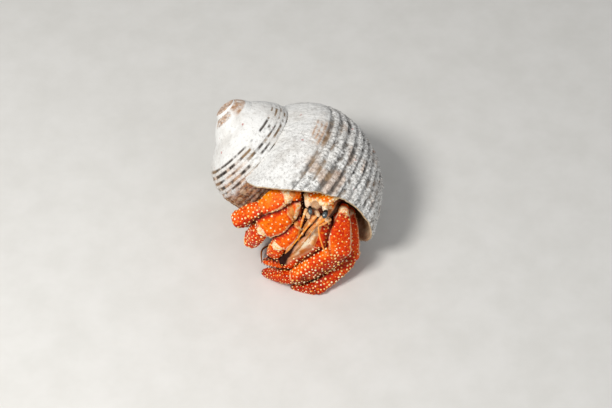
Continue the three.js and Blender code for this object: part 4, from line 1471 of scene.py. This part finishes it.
def build_body():
    """One skin for the soft body along the whorl, with the breast under it."""
    whorl = [out_of_shell_frame(wind(TRUNK_RADIUS, TRUNK_DROP, np.float64(turn))) for turn in TRUNK_TURNS]
    shape = {"reach": 0.5, "square": 2.2, "blunt": 8.0, "relief": fold_relief}
    trunk = Loft([MOUTH, *whorl], TRUNK_WIDTHS, TRUNK_DEPTHS, TRUNK_ACROSS, **shape)
    breast = Loft(BREAST, (6, 8, 8, 5), (3, 3.4, 3, 2), (1, 0, 0), reach=0.4, square=2.2, blunt=6.0)
    patches = [
        loft_patch(trunk, 120, 48, trunk_masks, lumps=0.3, seed=9),
        loft_patch(breast, 50, 36, breast_masks, lumps=0.3, seed=10),
    ]
    nodes = ["cephalothorax", "abdomen_front", "abdomen_rear", "tail_fan"]
    make_piece("body_skin", patches, [FLESH], nodes)


def build_holding_leg(name, line, root, tip):
    """A small leg that holds the shell, between its two thicknesses."""
    sizes = (root, (root + tip) / 2, tip)
    relief = rod_relief(HOLDING_LEG_JOINTS)
    leg = Loft(line, sizes, sizes, FEELER_ACROSS, reach=0.1, square=2.2, blunt=8.0, relief=relief)
    make_piece(f"{name}_surface", [loft_patch(leg, 40, 20)], [FLESH], [name])


# ---- stage

CAMERA_TARGET = np.array([3.0, -3.5, 15.0])
CAMERA_DISTANCE = 600.0
CAMERA_ELEVATION = 50.0
FOCAL_LENGTH = 105.88
LAMP_TARGET = (0, 0, 0.015)  # in metres, as are the places and sizes of the lamps
LAMPS = {
    "key_lamp": {"place": (-0.2, -0.2, 0.4), "size": 0.12, "power": 1.72, "tint": (1.0, 0.98, 0.95)},
    "fill_lamp": {"place": (0.35, -0.35, 0.35), "size": 0.4, "power": 0.5, "tint": (0.95, 0.97, 1.0)},
}
SKY_STRENGTH = 0.3
FLOOR_SIZE = 6.0


def build_camera():
    """The camera of the photograph."""
    tilt = math.radians(CAMERA_ELEVATION)
    back = np.array([0, -math.cos(tilt), math.sin(tilt)])
    data = bpy.data.cameras.new("camera")
    data.lens = FOCAL_LENGTH
    data.sensor_width = 36.0
    data.clip_start = 0.01
    camera = bpy.data.objects.new("camera", data)
    camera.location = (CAMERA_TARGET + back * CAMERA_DISTANCE - MIDDLE) * MILLIMETRE
    camera.rotation_euler = (math.pi / 2 - tilt, 0, 0)
    bpy.context.collection.objects.link(camera)
    bpy.context.scene.camera = camera


def build_lamp(name, spec):
    """A square soft lamp that shines at the middle of the model."""
    data = bpy.data.lights.new(name, "AREA")
    data.energy = spec["power"]
    data.size = spec["size"]
    data.color = spec["tint"]
    lamp = bpy.data.objects.new(name, data)
    lamp.location = spec["place"]
    beam = Vector(LAMP_TARGET) - Vector(spec["place"])
    lamp.rotation_euler = beam.to_track_quat("-Z", "Y").to_euler()
    bpy.context.collection.objects.link(lamp)


def build_floor():
    """A plain floor, which is not part of the model."""
    bpy.ops.mesh.primitive_plane_add(size=FLOOR_SIZE, location=(0, 0, 0))
    floor = bpy.context.object
    floor.name = "floor"
    floor.data.materials.append(floor_material())


def build_sky():
    """An even white light from all round."""
    world = bpy.data.worlds.new("studio")
    world.use_nodes = True
    sky = world.node_tree.nodes["Background"]
    sky.inputs["Color"].default_value = (1, 1, 1, 1)
    sky.inputs["Strength"].default_value = SKY_STRENGTH
    bpy.context.scene.world = world
    bpy.context.scene.view_settings.view_transform = "Standard"


build_shell()
for number, (limb, spec) in enumerate(LIMBS.items()):
    build_limb(limb, spec, 100 * (number + 1))
for side, eye in EYES.items():
    build_eye(side, eye)
build_ocular_scales()
build_mouth_lobes()
build_shield()
for name, spec in FEELERS.items():
    build_feeler(name, spec)
build_body()
for name, (line, root, tip) in HOLDING_LEGS.items():
    build_holding_leg(name, line, root, tip)
build_camera()
build_floor()
build_sky()
for name, spec in LAMPS.items():
    build_lamp(name, spec)
